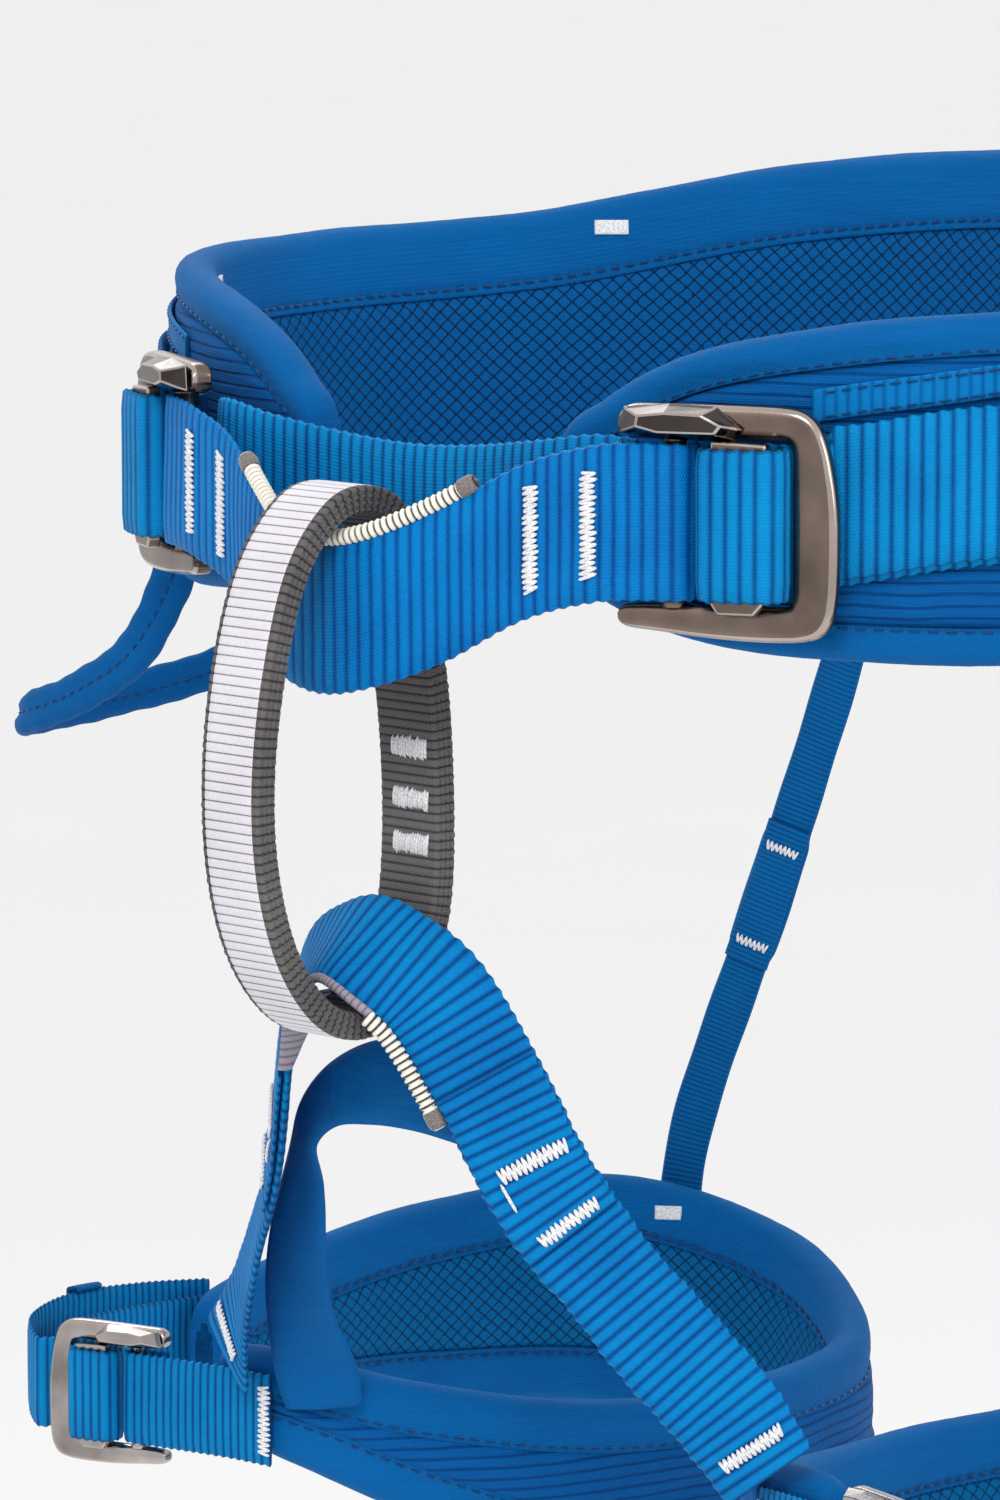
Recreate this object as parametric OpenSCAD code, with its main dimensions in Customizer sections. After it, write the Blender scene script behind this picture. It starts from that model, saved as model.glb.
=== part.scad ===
// Sit harness for climbing: padded waist belt with two slide-bar buckles, tie-in straps,
// belay loop, leg bridge, adjustable leg loops, gear loops and haul loop.
// Origin: centre of the waist opening. +X wearer's left, -Y wearer's front, +Z up. Millimetres.

/* [Waist belt] */
// Half width of the waist opening, hip to hip, at the padding's middle
waist_half_w = 130; // [124:1:134]
// Half depth of the waist opening, front to back, at the padding's middle
waist_half_d = 105; // [101:1:108]
// Thickness of the waist padding with its skins
pad_t = 8; // [6:0.5:9]
// Width of the waist webbing
web_w = 30; // [28:1:31]
// Thickness of one layer of webbing
web_t = 2; // [1.5:0.1:2.2]

/* [Belay loop] */
// Width of the belay loop webbing
ring_w = 17; // [15:1:19]
// Thickness of the belay loop, all layers together
ring_t = 5.5; // [4.5:0.5:6]

/* [Leg loops] */
// Thickness of the leg padding with its skins
leg_pad_t = 8; // [6:0.5:9]
// Width of the leg riser webbing
riser_w = 24; // [20:1:25]
// Width of the leg adjustment webbing
leg_web_w = 20; // [18:1:21]

/* [Buckles] */
// Length of the waist buckle along its strap
buckle_len = 44; // [43:1:46]
// Height of the waist buckle across its strap
buckle_h = 46; // [45:1:48]
// Leg buckle size as a share of the waist buckle
leg_buckle_k = 0.68; // [0.66:0.01:0.7]

/* [Gear loops] */
// Height of the gear loop's sleeve
gear_w = 9.5; // [8:0.5:10]
// Thickness of the gear loop's sleeve
gear_t = 5; // [4:0.5:5]

/* [Hidden] */

gap = 0.35;          // clear air between neighbouring pieces
skin_t = 1.2;        // shell and lining thickness
rim_r = 4.6;         // radius of the rolled binding
pipe_r = 1.7;         // radius of the wear piping
tack_t = 0.6;        // height of a bartack over its webbing
EPS = 0.01;          // step for tangents along a curve
UP = [0, 0, 1];
BLUE = [0.0, 0.36, 0.70];
LIGHT_BLUE = [0.02, 0.50, 0.82];
DARK_BLUE = [0.0, 0.22, 0.48];
WHITE = [0.90, 0.90, 0.92];
CREAM = [0.86, 0.83, 0.74];
BRONZE = [0.36, 0.31, 0.27];

// ---- curve helpers ----
function unit(v) = v / norm(v);
// Catmull-Rom curve through the points p, at position s counted in points
function spot(p, i, loop) = let (m = len(p))
  loop ? p[(i + m) % m]
       : i < 0 ? 2 * p[0] - p[1] : i > m - 1 ? 2 * p[m - 1] - p[m - 2] : p[i];
function at(p, s, loop = false) = let (
    top = loop ? floor(s) : min(floor(s), len(p) - 2), i = max(top, 0), t = s - i,
    a = spot(p, i - 1, loop), b = spot(p, i, loop),
    c = spot(p, i + 1, loop), d = spot(p, i + 2, loop))
  0.5 * (2 * b + (c - a) * t + (2 * a - 5 * b + 4 * c - d) * t * t
         + (3 * b - a - 3 * c + d) * t * t * t);
function steps(a, b, n) = [for (i = [0:n]) a + (b - a) * i / n];
function mirrored(p) = [for (q = p) [-q[0], for (i = [1:len(q) - 1]) q[i]]];
function reversed(p) = [for (i = [len(p) - 1:-1:0]) p[i]];
// a curve given from the middle outwards, made whole by its mirror image
function both_ways(p) = concat(reversed(mirrored(cut_first(p))), p);
function cut_first(p) = [for (i = [1:len(p) - 1]) p[i]];

// closed solid through equal rings of points; loop joins the last ring to the first
module skin(rings, loop = false) {
  m = len(rings[0]);
  count = len(rings);
  joins = loop ? count : count - 1;
  sides = [for (i = [0:joins - 1], j = [0:m - 1])
    let (a = i * m, b = ((i + 1) % count) * m, k = (j + 1) % m)
      each [[a + j, a + k, b + k], [a + j, b + k, b + j]]];
  ends = loop ? [] : [[for (j = [m - 1:-1:0]) j], [for (j = [0:m - 1]) (count - 1) * m + j]];
  polyhedron(points = [for (r = rings) each r], faces = concat(ends, sides));
}

// upright wall: curve points are [x, y, low z, high z]; profile points are
// [outward offset, share of the height, extra height]
function wall_ring(p, s, prof, out, loop) = let (
    e = EPS, q = at(p, s, loop),
    v = at(p, s + e, loop) - at(p, s - e, loop),
    n = out * unit([v[1], -v[0]]))
  [for (k = prof) [q[0] + n[0] * k[0], q[1] + n[1] * k[0],
                   q[2] + (q[3] - q[2]) * k[1] + k[2]]];
module wall(p, prof, a, b, n, out = 1, loop = false)
  skin([for (s = steps(a, b, n)) wall_ring(p, s, out > 0 ? prof : reversed(prof), out, loop)]);
function slab(d0, d1, low = 0, high = 0) = [[d0, 0, low], [d1, 0, low], [d1, 1, -high], [d0, 1, -high]];

// flat ribbon: p holds the middle line, e the direction across the ribbon
function ribbon_ring(p, e, s, prof, loop) = let (
    t = unit(at(p, s + EPS, loop) - at(p, s - EPS, loop)), a0 = at(e, s, loop),
    a = unit(a0 - (a0 * t) * t), n = cross(t, a), c = at(p, s, loop))
  [for (k = prof) c + a * k[0] + n * k[1]];
module ribbon(p, e, prof, a, b, n, loop = false)
  skin([for (s = loop ? [for (i = [0:n - 1]) a + (b - a) * i / n] : steps(a, b, n))
        ribbon_ring(p, e, s, reversed(prof), loop)], loop);
function flat(w, t, lift = 0) = [[-w / 2, lift - t / 2], [w / 2, lift - t / 2],
                                 [w / 2, lift + t / 2], [-w / 2, lift + t / 2]];
function oval(w, t, m = 8, shift = [0, 0]) = [for (i = [0:m - 1])
  shift + [w / 2 * cos(360 * i / m), t / 2 * sin(360 * i / m)]];

module on_side(name) mirror([name == "right" ? 1 : 0, 0, 0]) children();

// ---- waist belt ----
// The padding follows an ellipse. Angles run from the front, through the left hip, to the back.
// Near its open front the padding lies further in, to make room for buckles and tie-in straps.
TIP_U = 17;
FULL_U = 65;
TIP_INSET = 12;
function fold(u) = min(u, 360 - u);
function inset(u) = let (k = (min(max(fold(u), TIP_U), FULL_U) - TIP_U) / (FULL_U - TIP_U))
  -TIP_INSET / 2 * (1 + cos(180 * k));
function belt(u, d) = let (n = unit([sin(u) / waist_half_w, -cos(u) / waist_half_d]))
  [waist_half_w * sin(u), -waist_half_d * cos(u)] + n * d;
// [angle, bottom edge, top edge] of the padding
EDGES_HALF = [[17, -12, 1], [22, -19, 13], [30, -25, 22], [42, -28, 28], [60, -29, 32],
              [90, -30, 33], [120, -33, 36], [150, -42, 47]];
EDGES = concat(EDGES_HALF, [[180, -45, 52]], reversed([for (q = EDGES_HALF) [360 - q[0], q[1], q[2]]]));
EDGE_END = len(EDGES) - 1;
PAD_PATH = [for (s = steps(0, EDGE_END, 72)) let (q = at(EDGES, s), xy = belt(q[0], inset(q[0])))
            [xy[0], xy[1], q[1], q[2]]];
PAD_END = len(PAD_PATH) - 1;
// middle height of the load webbing by angle
WEB_MID_HALF = [[36, -4.5], [48, 0], [62, 4], [90, 4], [120, 3], [150, 3]];
WEB_MID = concat(WEB_MID_HALF, [[180, 3]], reversed([for (q = WEB_MID_HALF) [360 - q[0], q[1]]]));
function web_path(d, w, low = 0) = [for (s = steps(0, len(WEB_MID) - 1, 60))
  let (q = at(WEB_MID, s), xy = belt(q[0], inset(q[0]) + d))
    [xy[0], xy[1], q[1] - w / 2 - low, q[1] + w / 2 - low]];
WEB_END = 60;
pad_out = pad_t / 2;
web_in = pad_out + gap;
tail_in = web_in + web_t + gap;
tail_out = tail_in + web_t;

module waist_foam() color(DARK_BLUE)
  wall(PAD_PATH, slab(-pad_out + skin_t, pad_out - skin_t), 0, PAD_END, 72);
module waist_shell() color(BLUE)
  wall(PAD_PATH, slab(pad_out - skin_t, pad_out), 0, PAD_END, 72);
module waist_lining() color(DARK_BLUE)
  wall(PAD_PATH, slab(-pad_out, -pad_out + skin_t), 0, PAD_END, 72);
// rolled edge: a half-round bead along the top and the bottom of the slab
function bead(share, dir, r) = let (turn = dir > 0 ? [0:30:180] : [180:30:360])
  [for (a = turn) [r * cos(a), share, dir * gap + r * sin(a) * 0.9]];
module waist_binding() color(BLUE) {
  wall(PAD_PATH, bead(1, 1, rim_r), 0, PAD_END, 72);
  wall(PAD_PATH, bead(0, -1, rim_r), 0, PAD_END, 72);
}
module waist_webbing() color(LIGHT_BLUE)
  wall(web_path(0, web_w, 1.5), slab(web_in, web_in + web_t), 2, WEB_END - 2, 64);
// free end of the adjustable webbing, lying on the load webbing
TAIL_FROM = 3.6;
TAIL_TO = 15;
module waist_tail() color(LIGHT_BLUE)
  wall(web_path(0, web_w), slab(tail_in, tail_out), TAIL_FROM, TAIL_TO, 20);
module tail_keeper() color(DARK_BLUE)
  wall(web_path(0, web_w + 5), slab(tail_out + gap, tail_out + gap + 1), 13, 14.4, 4);
// small white stitched tags inside the top edge
module tag(u) {
  q = [for (s = [0:0.02:EDGE_END]) at(EDGES, s)];
  near = [for (r = q) if (r[0] >= u) r][0];
  xy = belt(u, inset(u) - pad_out - gap - tack_t);
  face = atan2(-cos(u) / waist_half_d, sin(u) / waist_half_w) + 90;
  translate([xy[0], xy[1], near[2] - 2]) rotate([0, 0, face]) cube([8, tack_t, 3.2], center = true);
}
module waist_tags() color(WHITE) for (u = [58, 128, 232, 302]) tag(u);

// ---- buckle places: centre, turn about Z for the left side, scale ----
WAIST_BUCKLE = [80, -90, -4.5];
WAIST_TURN = 26;
LEG_BUCKLE = [115, -78, -211];
LEG_TURN = -15;
module place(at_p, turn, k) translate(at_p) rotate([0, 0, turn]) scale(k) children();
function placed(p, at_p, turn, k) = let (c = cos(turn), s = sin(turn))
  [at_p[0] + k * (c * p[0] - s * p[1]), at_p[1] + k * (s * p[0] + c * p[1])];

// In a buckle's own frame: +X outwards along the strap, -Y away from the body, +Z up.
frame_t = 4;
bar_r = 2.5;
bar_x = -11;             // the fixed bar, also the buckle's hinge
wide_x = 14.5;           // inner edge of the wide bar
inner_h = 33;            // clear height between the two rails
slide_x0 = -2;           // slider bar's two edges
slide_x1 = 9.5;
slide_y = -3.1;          // slider's back face, just in front of the rails
slide_t = 3;
lug_z = inner_h / 2 + 3.3;
module rounded_plate(w, h, r) offset(r = r) square([w - 2 * r, h - 2 * r], center = true);
// frame outline: rails, wide outer bar with a bowed edge, open towards the wearer's front
module frame_plan() difference() {
  hull() {
    for (z = [-1, 1]) {
      translate([-buckle_len / 2 + 3, z * (buckle_h / 2 - 3.4)]) circle(3, $fn = 32);
      translate([buckle_len / 2 - 8.5, z * (buckle_h / 2 - 7)]) circle(7, $fn = 40);
      translate([buckle_len / 2 - 5, z * 8]) circle(5, $fn = 32);
    }
  }
  translate([(wide_x - buckle_len) / 2, 0])
    rounded_plate(wide_x + buckle_len, inner_h, 1.5);
}
module buckle_frame() color(BRONZE) {
  rotate([90, 0, 0]) linear_extrude(frame_t, center = true) frame_plan();
  translate([bar_x, 0, 0]) cylinder(h = inner_h + 1, r = bar_r, center = true, $fn = 32);
}
// slider: flat bar in front of the rails, with a bevelled thumb lug at its upper end
module buckle_slider() color(BRONZE) {
  w = slide_x1 - slide_x0;
  translate([(slide_x0 + slide_x1) / 2, slide_y - slide_t / 2, 0])
    cube([w, slide_t, buckle_h - 8], center = true);
  hull() {
    translate([-9, slide_y - 0.75, lug_z]) cube([26, 1.5, 7.4], center = true);
    translate([-10, slide_y - 4.6, lug_z]) cube([18, 0.8, 3.4], center = true);
  }
}
// the strap's turn round the slider, as [x, y] of its middle line
TURN = [[12, 2], [12, -3.6], [10.2, -7], [7, -7.6], [0, -7.6], [-2.7, -7], [-4.3, -4.4],
        [-4.2, -0.8], [-1.8, 3.1], [2.5, 5]];
module strap_turn(w) color(LIGHT_BLUE)
  ribbon([for (q = TURN) [q[0], q[1], 0]], [for (q = TURN) UP], flat(w, web_t), 0, len(TURN) - 1, 40);

module waist_buckle_part() place(WAIST_BUCKLE, WAIST_TURN, 1) children();
module leg_buckle_part() place(LEG_BUCKLE, LEG_TURN, leg_buckle_k) children();

// ---- tie-in straps at the front ----
function at_waist_buckle(p) = placed(p, WAIST_BUCKLE, WAIST_TURN, 1);
// strap layer standing in front of the fixed bar, then round it and back
turn_r = 4.1;            // strap's middle line from the fixed bar's axis
BAR_TURN = [[-17, -turn_r], for (a = [-90:45:90]) [bar_x + turn_r * cos(a), turn_r * sin(a)]];
BACK_LEAD = at_waist_buckle([-20, 4.4]);
tie_w = 31;
function upright(x, y, mid, w) = [x, y, mid - w / 2, mid + w / 2];
TIE_FRONT = both_ways([upright(0, -123.5, -27.5, tie_w - 1), upright(12, -122, -25.5, tie_w - 1),
  upright(26, -116, -19.5, tie_w), upright(42, -109, -10, tie_w), upright(57, -105, -5.5, tie_w),
  for (q = BAR_TURN) let (w = at_waist_buckle(q)) upright(w[0], w[1], WAIST_BUCKLE[2], tie_w)]);
TIE_REAR = both_ways([upright(0, -98, -9.5, tie_w), upright(18, -98.5, -8.5, tie_w),
  upright(38, -100.5, -6, tie_w), upright(52, -99, -4, tie_w),
  upright(BACK_LEAD[0], BACK_LEAD[1], WAIST_BUCKLE[2], tie_w)]);
half_web = web_t / 2;
module tie_in_front() color(LIGHT_BLUE)
  wall(TIE_FRONT, slab(-half_web, half_web), 0, len(TIE_FRONT) - 1, 96);
module tie_in_rear() color(BLUE)
  wall(TIE_REAR, slab(-half_web, half_web), 0, len(TIE_REAR) - 1, 40);
// round wear strip laid over the front strap's top edge
tie_mid = (len(TIE_FRONT) - 1) / 2;
module tie_in_piping() color(CREAM)
  wall(TIE_FRONT, [for (a = [0:45:315]) [pipe_r * cos(a), 1, gap + pipe_r + pipe_r * sin(a)]],
       tie_mid - 2.45, tie_mid + 2.45, 32);
module tie_in_bartacks() color(WHITE) for (m = [-1, 1], s = [3.15, 4.0])
  wall(TIE_FRONT, slab(half_web + 0.1, half_web + 0.1 + tack_t, 5, 5),
       tie_mid + m * s - 0.12, tie_mid + m * s + 0.12, 2);

// ---- belay loop, as [y, z] of its middle line ----
RING_YZ = [[-104, -22], [-108, -9], [-116, -3.5], [-127, -5.5], [-138, -19], [-145, -45],
           [-146, -70], [-141, -91], [-131, -105], [-119, -109.5], [-106.5, -103.5],
           [-98.5, -91], [-96.5, -70], [-98.5, -42]];
RING = [for (q = RING_YZ) [0, q[0], q[1]]];
RING_ACROSS = [for (q = RING) [1, 0, 0]];
module belay_loop() color(WHITE)
  ribbon(RING, RING_ACROSS, flat(ring_w, ring_t), 0, len(RING), 84, loop = true);
module belay_bartacks() color(WHITE) for (s = [11.78, 12.15, 12.52])
  ribbon(RING, RING_ACROSS, flat(ring_w - 4, tack_t, -ring_t / 2 - tack_t / 2 - 0.1), s - 0.12, s + 0.12, 2);

// ---- leg bridge and risers ----
CREST = [[0, -114.5, -92], [9, -113.5, -95], [20, -110, -103], [30, -104.5, -121], [40, -98, -143],
         [56, -89, -165], [71, -80, -184], [80, -76, -197]];
CREST_ACROSS = [[0, 16, 13], [5, 15.5, 13.3], [10, 14, 13.3], [12.5, 13, 13.3], [12.5, 13, 13.3],
                [12.5, 13, 13.3], [12.5, 10, 13.3], [13, 4, 13]];
BRIDGE = both_ways(CREST);
BRIDGE_ACROSS = both_ways(CREST_ACROSS);
crest_i = len(CREST) - 1;
split_s = 3.9;           // where the riser leaves the bridge, at the leg hinge
module leg_bridge() color(LIGHT_BLUE)
  ribbon(BRIDGE, BRIDGE_ACROSS, flat(riser_w, web_t), crest_i - split_s, crest_i + split_s, 56);
BRIDGE_BACK = both_ways([[0, -99, -125], [12, -99, -126.5], [24, -98.5, -131], [35, -95.5, -138.5]]);
module leg_bridge_rear() color(DARK_BLUE)
  ribbon(BRIDGE_BACK, [for (q = BRIDGE_BACK) [q[0] * 0.015, 0.2, 1]], flat(18, web_t), 0, 6, 30);
module leg_bridge_piping() color(CREAM) for (m = [-1, 1])
  ribbon(BRIDGE, BRIDGE_ACROSS, oval(2 * pipe_r, 2 * pipe_r, 8, [-riser_w / 2 - pipe_r - gap, 0]),
         crest_i + min(m * 1.6, m * 3.1), crest_i + max(m * 1.6, m * 3.1), 20);
module leg_bridge_bartacks() color(WHITE) for (m = [-1, 1])
  ribbon(BRIDGE, BRIDGE_ACROSS, flat(riser_w - 9, tack_t, half_web + tack_t / 2 + 0.2),
         crest_i + m * 3.68 - 0.06, crest_i + m * 3.68 + 0.06, 2);
module riser() color(LIGHT_BLUE)
  ribbon(CREST, CREST_ACROSS, flat(riser_w, web_t), split_s + 0.08, len(CREST) - 1, 28);
// soft inner band behind the riser, from the bridge's inner strap down to the leg padding
BACKING = [[38, -93.2, -142.8], [41.8, -88.5, -151.5], [49.5, -83, -166], [57.5, -75.5, -182], [62, -66.5, -198.5]];
BACKING_ACROSS = [[0.55, 0.2, 0.8], [0.9, 0.12, 0.42], [0.97, 0.05, 0.25], [0.95, -0.15, 0.2], [0.85, -0.5, 0.1]];
backing_t = 1.6;
module riser_backing() color(BLUE)
  skin([for (s = steps(0, len(BACKING) - 1, 24))
    ribbon_ring(BACKING, BACKING_ACROSS, s, reversed(flat(16 + 1.5 * s, backing_t)), false)]);

// ---- leg loop ----
// padding outline as [x, y, low edge, top edge], from the riser round the thigh to the strap
LEG_PAD = [[90, -67, -212, -201], [72, -63, -218, -202], [50, -42, -231, -209], [33, -7, -245, -215],
           [29, 35, -253, -216], [43, 82, -258, -214], [84, 106, -250, -202], [122, 88, -238, -191],
           [141, 43, -234, -194], [143, 0, -231, -200], [139, -28, -225, -205]];
LEG_END = len(LEG_PAD) - 1;
leg_out = leg_pad_t / 2;
leg_rim = 4.4;
module leg_foam() color(DARK_BLUE)
  wall(LEG_PAD, slab(-leg_out + skin_t, leg_out - skin_t), 0, LEG_END, 64, -1);
module leg_shell() color(BLUE)
  wall(LEG_PAD, slab(leg_out - skin_t, leg_out), 0, LEG_END, 64, -1);
module leg_lining() color(DARK_BLUE)
  wall(LEG_PAD, slab(-leg_out, -leg_out + skin_t), 0, LEG_END, 64, -1);
module leg_binding() color(BLUE) {
  wall(LEG_PAD, bead(1, 1, leg_rim), 0, LEG_END, 64, -1);
  wall(LEG_PAD, bead(0, -1, leg_rim), 0, LEG_END, 64, -1);
}

// ---- leg straps ----
leg_web_t = 1.3;
half_leg_web = leg_web_t / 2;
function at_leg_buckle(p) = placed(p, LEG_BUCKLE, LEG_TURN, leg_buckle_k);
function leg_strap_point(xy, mid) = upright(xy[0], xy[1], mid, leg_web_w);
LEG_MID = LEG_BUCKLE[2];
// fixed end: from the padding under the riser, round the buckle's fixed bar and back
LEG_FIXED = concat(
  [leg_strap_point([55.5, -57.5], -214), leg_strap_point([68.5, -69], -212), leg_strap_point([83, -73.5], -211)],
  [for (q = concat(BAR_TURN, [[bar_x - 9, turn_r - 0.5]])) leg_strap_point(at_leg_buckle(q), LEG_MID)]);
// adjustable end: from under the buckle round the outside of the padding
LEG_LOAD = concat(
  [for (q = [[7, 6.6], [15, 7.2], [24, 7.4]]) leg_strap_point(at_leg_buckle(q), LEG_MID)],
  [leg_strap_point([141, -68], -211), leg_strap_point([146, -50], -212), leg_strap_point([148, -25], -213),
   leg_strap_point([149, 0], -214), leg_strap_point([148.8, 20], -214)]);
LEG_TAIL = concat(
  [for (q = [[14, 3.5], [24, 3.5], [30, 2.8]]) leg_strap_point(at_leg_buckle(q), LEG_MID)],
  [leg_strap_point([146, -73], -209), leg_strap_point([152.5, -56], -208), leg_strap_point([153.5, -35], -209),
   leg_strap_point([152.5, -14], -211)]);
module leg_strap() color(LIGHT_BLUE) {
  wall(LEG_FIXED, slab(-half_leg_web, half_leg_web), 0, len(LEG_FIXED) - 1, 44);
  wall(LEG_LOAD, slab(-half_leg_web, half_leg_web), 0, len(LEG_LOAD) - 1, 36);
}
module leg_tail() color(LIGHT_BLUE)
  wall(LEG_TAIL, slab(-half_leg_web, half_leg_web), 0, len(LEG_TAIL) - 1, 28);
KEEPER_AT = [4.05, 4.45];
module leg_keeper() color(DARK_BLUE)
  wall(LEG_TAIL, slab(half_leg_web + gap, half_leg_web + gap + 1, -2, -2), KEEPER_AT[0], KEEPER_AT[1], 4);
module leg_bartacks() color(WHITE) {
  ribbon(CREST, CREST_ACROSS, flat(riser_w - 9, tack_t, half_web + tack_t / 2 + 0.35), 4.15, 4.28, 2);
  ribbon(CREST, CREST_ACROSS, flat(riser_w - 9, tack_t, half_web + tack_t / 2 + 0.35), 6.5, 6.64, 2);
}

// ---- rear elastic straps ----
ELASTIC = [[61, 99.3, -38], [62, 100.8, -56], [88, 102, -120], [111, 102, -174], [116.8, 101.8, -206]];
ELASTIC_ACROSS = [[0.92, -0.38, 0], [0.92, -0.38, 0], [0.9, -0.45, 0], [0.9, -0.5, 0], [0.87, -0.5, 0]];
module rear_elastic() color(BLUE)
  ribbon(ELASTIC, ELASTIC_ACROSS, flat(10, 1.4), 0, len(ELASTIC) - 1, 32);

// ---- gear loops and haul loop ----
GEAR = [[129, -40, -20], [131, -42, -34], [140, -46, -53], [156, -49, -64], [173, -48, -70], [181, -39, -72],
        [179, -18, -70], [168, 5, -64], [150, 27, -51], [135, 44, -36], [127.5, 50, -20]];
module gear_loop() color(BLUE)
  ribbon(GEAR, [for (q = GEAR) [-0.2 * q[0] / 130, -0.2 * q[1] / 105, 1]], oval(gear_w, gear_t),
         0, len(GEAR) - 1, 40);
HAUL = both_ways([[0, 117.5, -60], [8, 117.5, -56], [12, 117, -44], [12, 116, -30], [12, 115.3, -17]]);
module haul_loop() color(DARK_BLUE)
  ribbon(HAUL, [for (q = HAUL) [0, 1, 0.1]], oval(4.5, 6), 0, len(HAUL) - 1, 28);

waist_foam();
waist_shell();
waist_lining();
waist_binding();
waist_webbing();
waist_tags();
tie_in_front();
tie_in_rear();
tie_in_piping();
tie_in_bartacks();
leg_bridge();
leg_bridge_rear();
leg_bridge_piping();
leg_bridge_bartacks();
belay_loop();
belay_bartacks();
haul_loop();
on_side("left") waist_tail();  // left_waist_tail
on_side("right") waist_tail();  // right_waist_tail
on_side("left") tail_keeper();  // left_tail_keeper
on_side("right") tail_keeper();  // right_tail_keeper
on_side("left") waist_buckle_part() buckle_frame();  // left_waist_buckle_frame
on_side("right") waist_buckle_part() buckle_frame();  // right_waist_buckle_frame
on_side("left") waist_buckle_part() buckle_slider();  // left_waist_buckle_slider
on_side("right") waist_buckle_part() buckle_slider();  // right_waist_buckle_slider
on_side("left") waist_buckle_part() strap_turn(web_w);  // left_waist_strap_turn
on_side("right") waist_buckle_part() strap_turn(web_w);  // right_waist_strap_turn
on_side("left") gear_loop();  // left_gear_loop
on_side("right") gear_loop();  // right_gear_loop
on_side("left") riser();  // left_riser
on_side("right") riser();  // right_riser
on_side("left") riser_backing();  // left_riser_backing
on_side("right") riser_backing();  // right_riser_backing
on_side("left") leg_foam();  // left_leg_foam
on_side("right") leg_foam();  // right_leg_foam
on_side("left") leg_shell();  // left_leg_shell
on_side("right") leg_shell();  // right_leg_shell
on_side("left") leg_lining();  // left_leg_lining
on_side("right") leg_lining();  // right_leg_lining
on_side("left") leg_binding();  // left_leg_binding
on_side("right") leg_binding();  // right_leg_binding
on_side("left") leg_strap();  // left_leg_strap
on_side("right") leg_strap();  // right_leg_strap
on_side("left") leg_tail();  // left_leg_tail
on_side("right") leg_tail();  // right_leg_tail
on_side("left") leg_keeper();  // left_leg_keeper
on_side("right") leg_keeper();  // right_leg_keeper
on_side("left") leg_buckle_part() buckle_frame();  // left_leg_buckle_frame
on_side("right") leg_buckle_part() buckle_frame();  // right_leg_buckle_frame
on_side("left") leg_buckle_part() buckle_slider();  // left_leg_buckle_slider
on_side("right") leg_buckle_part() buckle_slider();  // right_leg_buckle_slider
on_side("left") leg_buckle_part() strap_turn(leg_web_w / leg_buckle_k);  // left_leg_strap_turn
on_side("right") leg_buckle_part() strap_turn(leg_web_w / leg_buckle_k);  // right_leg_strap_turn
on_side("left") leg_bartacks();  // left_leg_bartacks
on_side("right") leg_bartacks();  // right_leg_bartacks
on_side("left") rear_elastic();  // left_rear_elastic
on_side("right") rear_elastic();  // right_rear_elastic
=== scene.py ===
"""Climbing sit harness: fabric, webbing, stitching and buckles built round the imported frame.

Routes and sizes repeat the ones in part.scad, in millimetres, and become metres when a mesh is made.
"""
import math

import bpy
import mathutils
import numpy as np
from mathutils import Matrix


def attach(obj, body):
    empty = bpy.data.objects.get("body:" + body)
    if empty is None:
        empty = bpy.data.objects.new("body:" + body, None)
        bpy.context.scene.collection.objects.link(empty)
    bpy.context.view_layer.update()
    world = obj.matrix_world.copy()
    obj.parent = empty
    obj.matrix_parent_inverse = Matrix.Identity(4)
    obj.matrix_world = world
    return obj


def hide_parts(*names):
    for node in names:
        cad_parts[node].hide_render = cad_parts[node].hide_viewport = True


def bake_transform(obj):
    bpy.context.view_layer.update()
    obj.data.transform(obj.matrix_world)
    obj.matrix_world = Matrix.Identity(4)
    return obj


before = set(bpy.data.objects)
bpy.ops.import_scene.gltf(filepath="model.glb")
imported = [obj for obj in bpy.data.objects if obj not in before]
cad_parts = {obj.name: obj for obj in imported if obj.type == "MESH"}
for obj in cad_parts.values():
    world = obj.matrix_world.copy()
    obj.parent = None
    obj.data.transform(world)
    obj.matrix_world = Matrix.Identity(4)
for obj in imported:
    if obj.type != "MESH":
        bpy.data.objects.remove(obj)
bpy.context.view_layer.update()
MM = 0.001

# ---------------------------------------------------------------- driving sizes, as in part.scad
WAIST_HALF_W, WAIST_HALF_D = 130.0, 105.0
PAD_OUT = 4.0
GAP = 0.35
WEB_W, WEB_T = 30.0, 2.0
RING_W, RING_T = 17.0, 5.5
RISER_W = 24.0
LEG_WEB_W, LEG_WEB_T = 20.0, 1.3
PIPE_R = 1.7
BAR_X, TURN_R = -11.0, 4.1
# each buckle: its place, its turn about the vertical in degrees, and its scale
WAIST_BUCKLE = ((80.0, -90.0, -4.5), 26.0, 1.0)
LEG_BUCKLE = ((115.0, -78.0, -211.0), -15.0, 0.68)
WAIST_BUCKLE_Z, LEG_BUCKLE_Z = -4.5, -211.0
TIE_W = 31.0
NUDGE = 0.01  # half the step along a curve, in points, over which its direction is taken


# ---------------------------------------------------------------- curves
def curve(points, s, loop=False):
    """Catmull-Rom curve through the points, at positions s counted in points."""
    p = np.asarray(points, float)
    s = np.atleast_1d(np.asarray(s, float))
    m = len(p)
    if loop:
        ext = np.vstack([p[-1:], p, p[:2]])
        s = np.mod(s, m)
        i = np.minimum(np.floor(s).astype(int), m - 1)
    else:
        ext = np.vstack([2 * p[0] - p[1], p, 2 * p[-1] - p[-2]])
        i = np.clip(np.floor(s).astype(int), 0, m - 2)
    t = (s - i)[:, None]
    a, b, c, d = ext[i], ext[i + 1], ext[i + 2], ext[i + 3]
    return 0.5 * (2 * b + (c - a) * t + (2 * a - 5 * b + 4 * c - d) * t ** 2
                  + (3 * b - a - 3 * c + d) * t ** 3)


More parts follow.
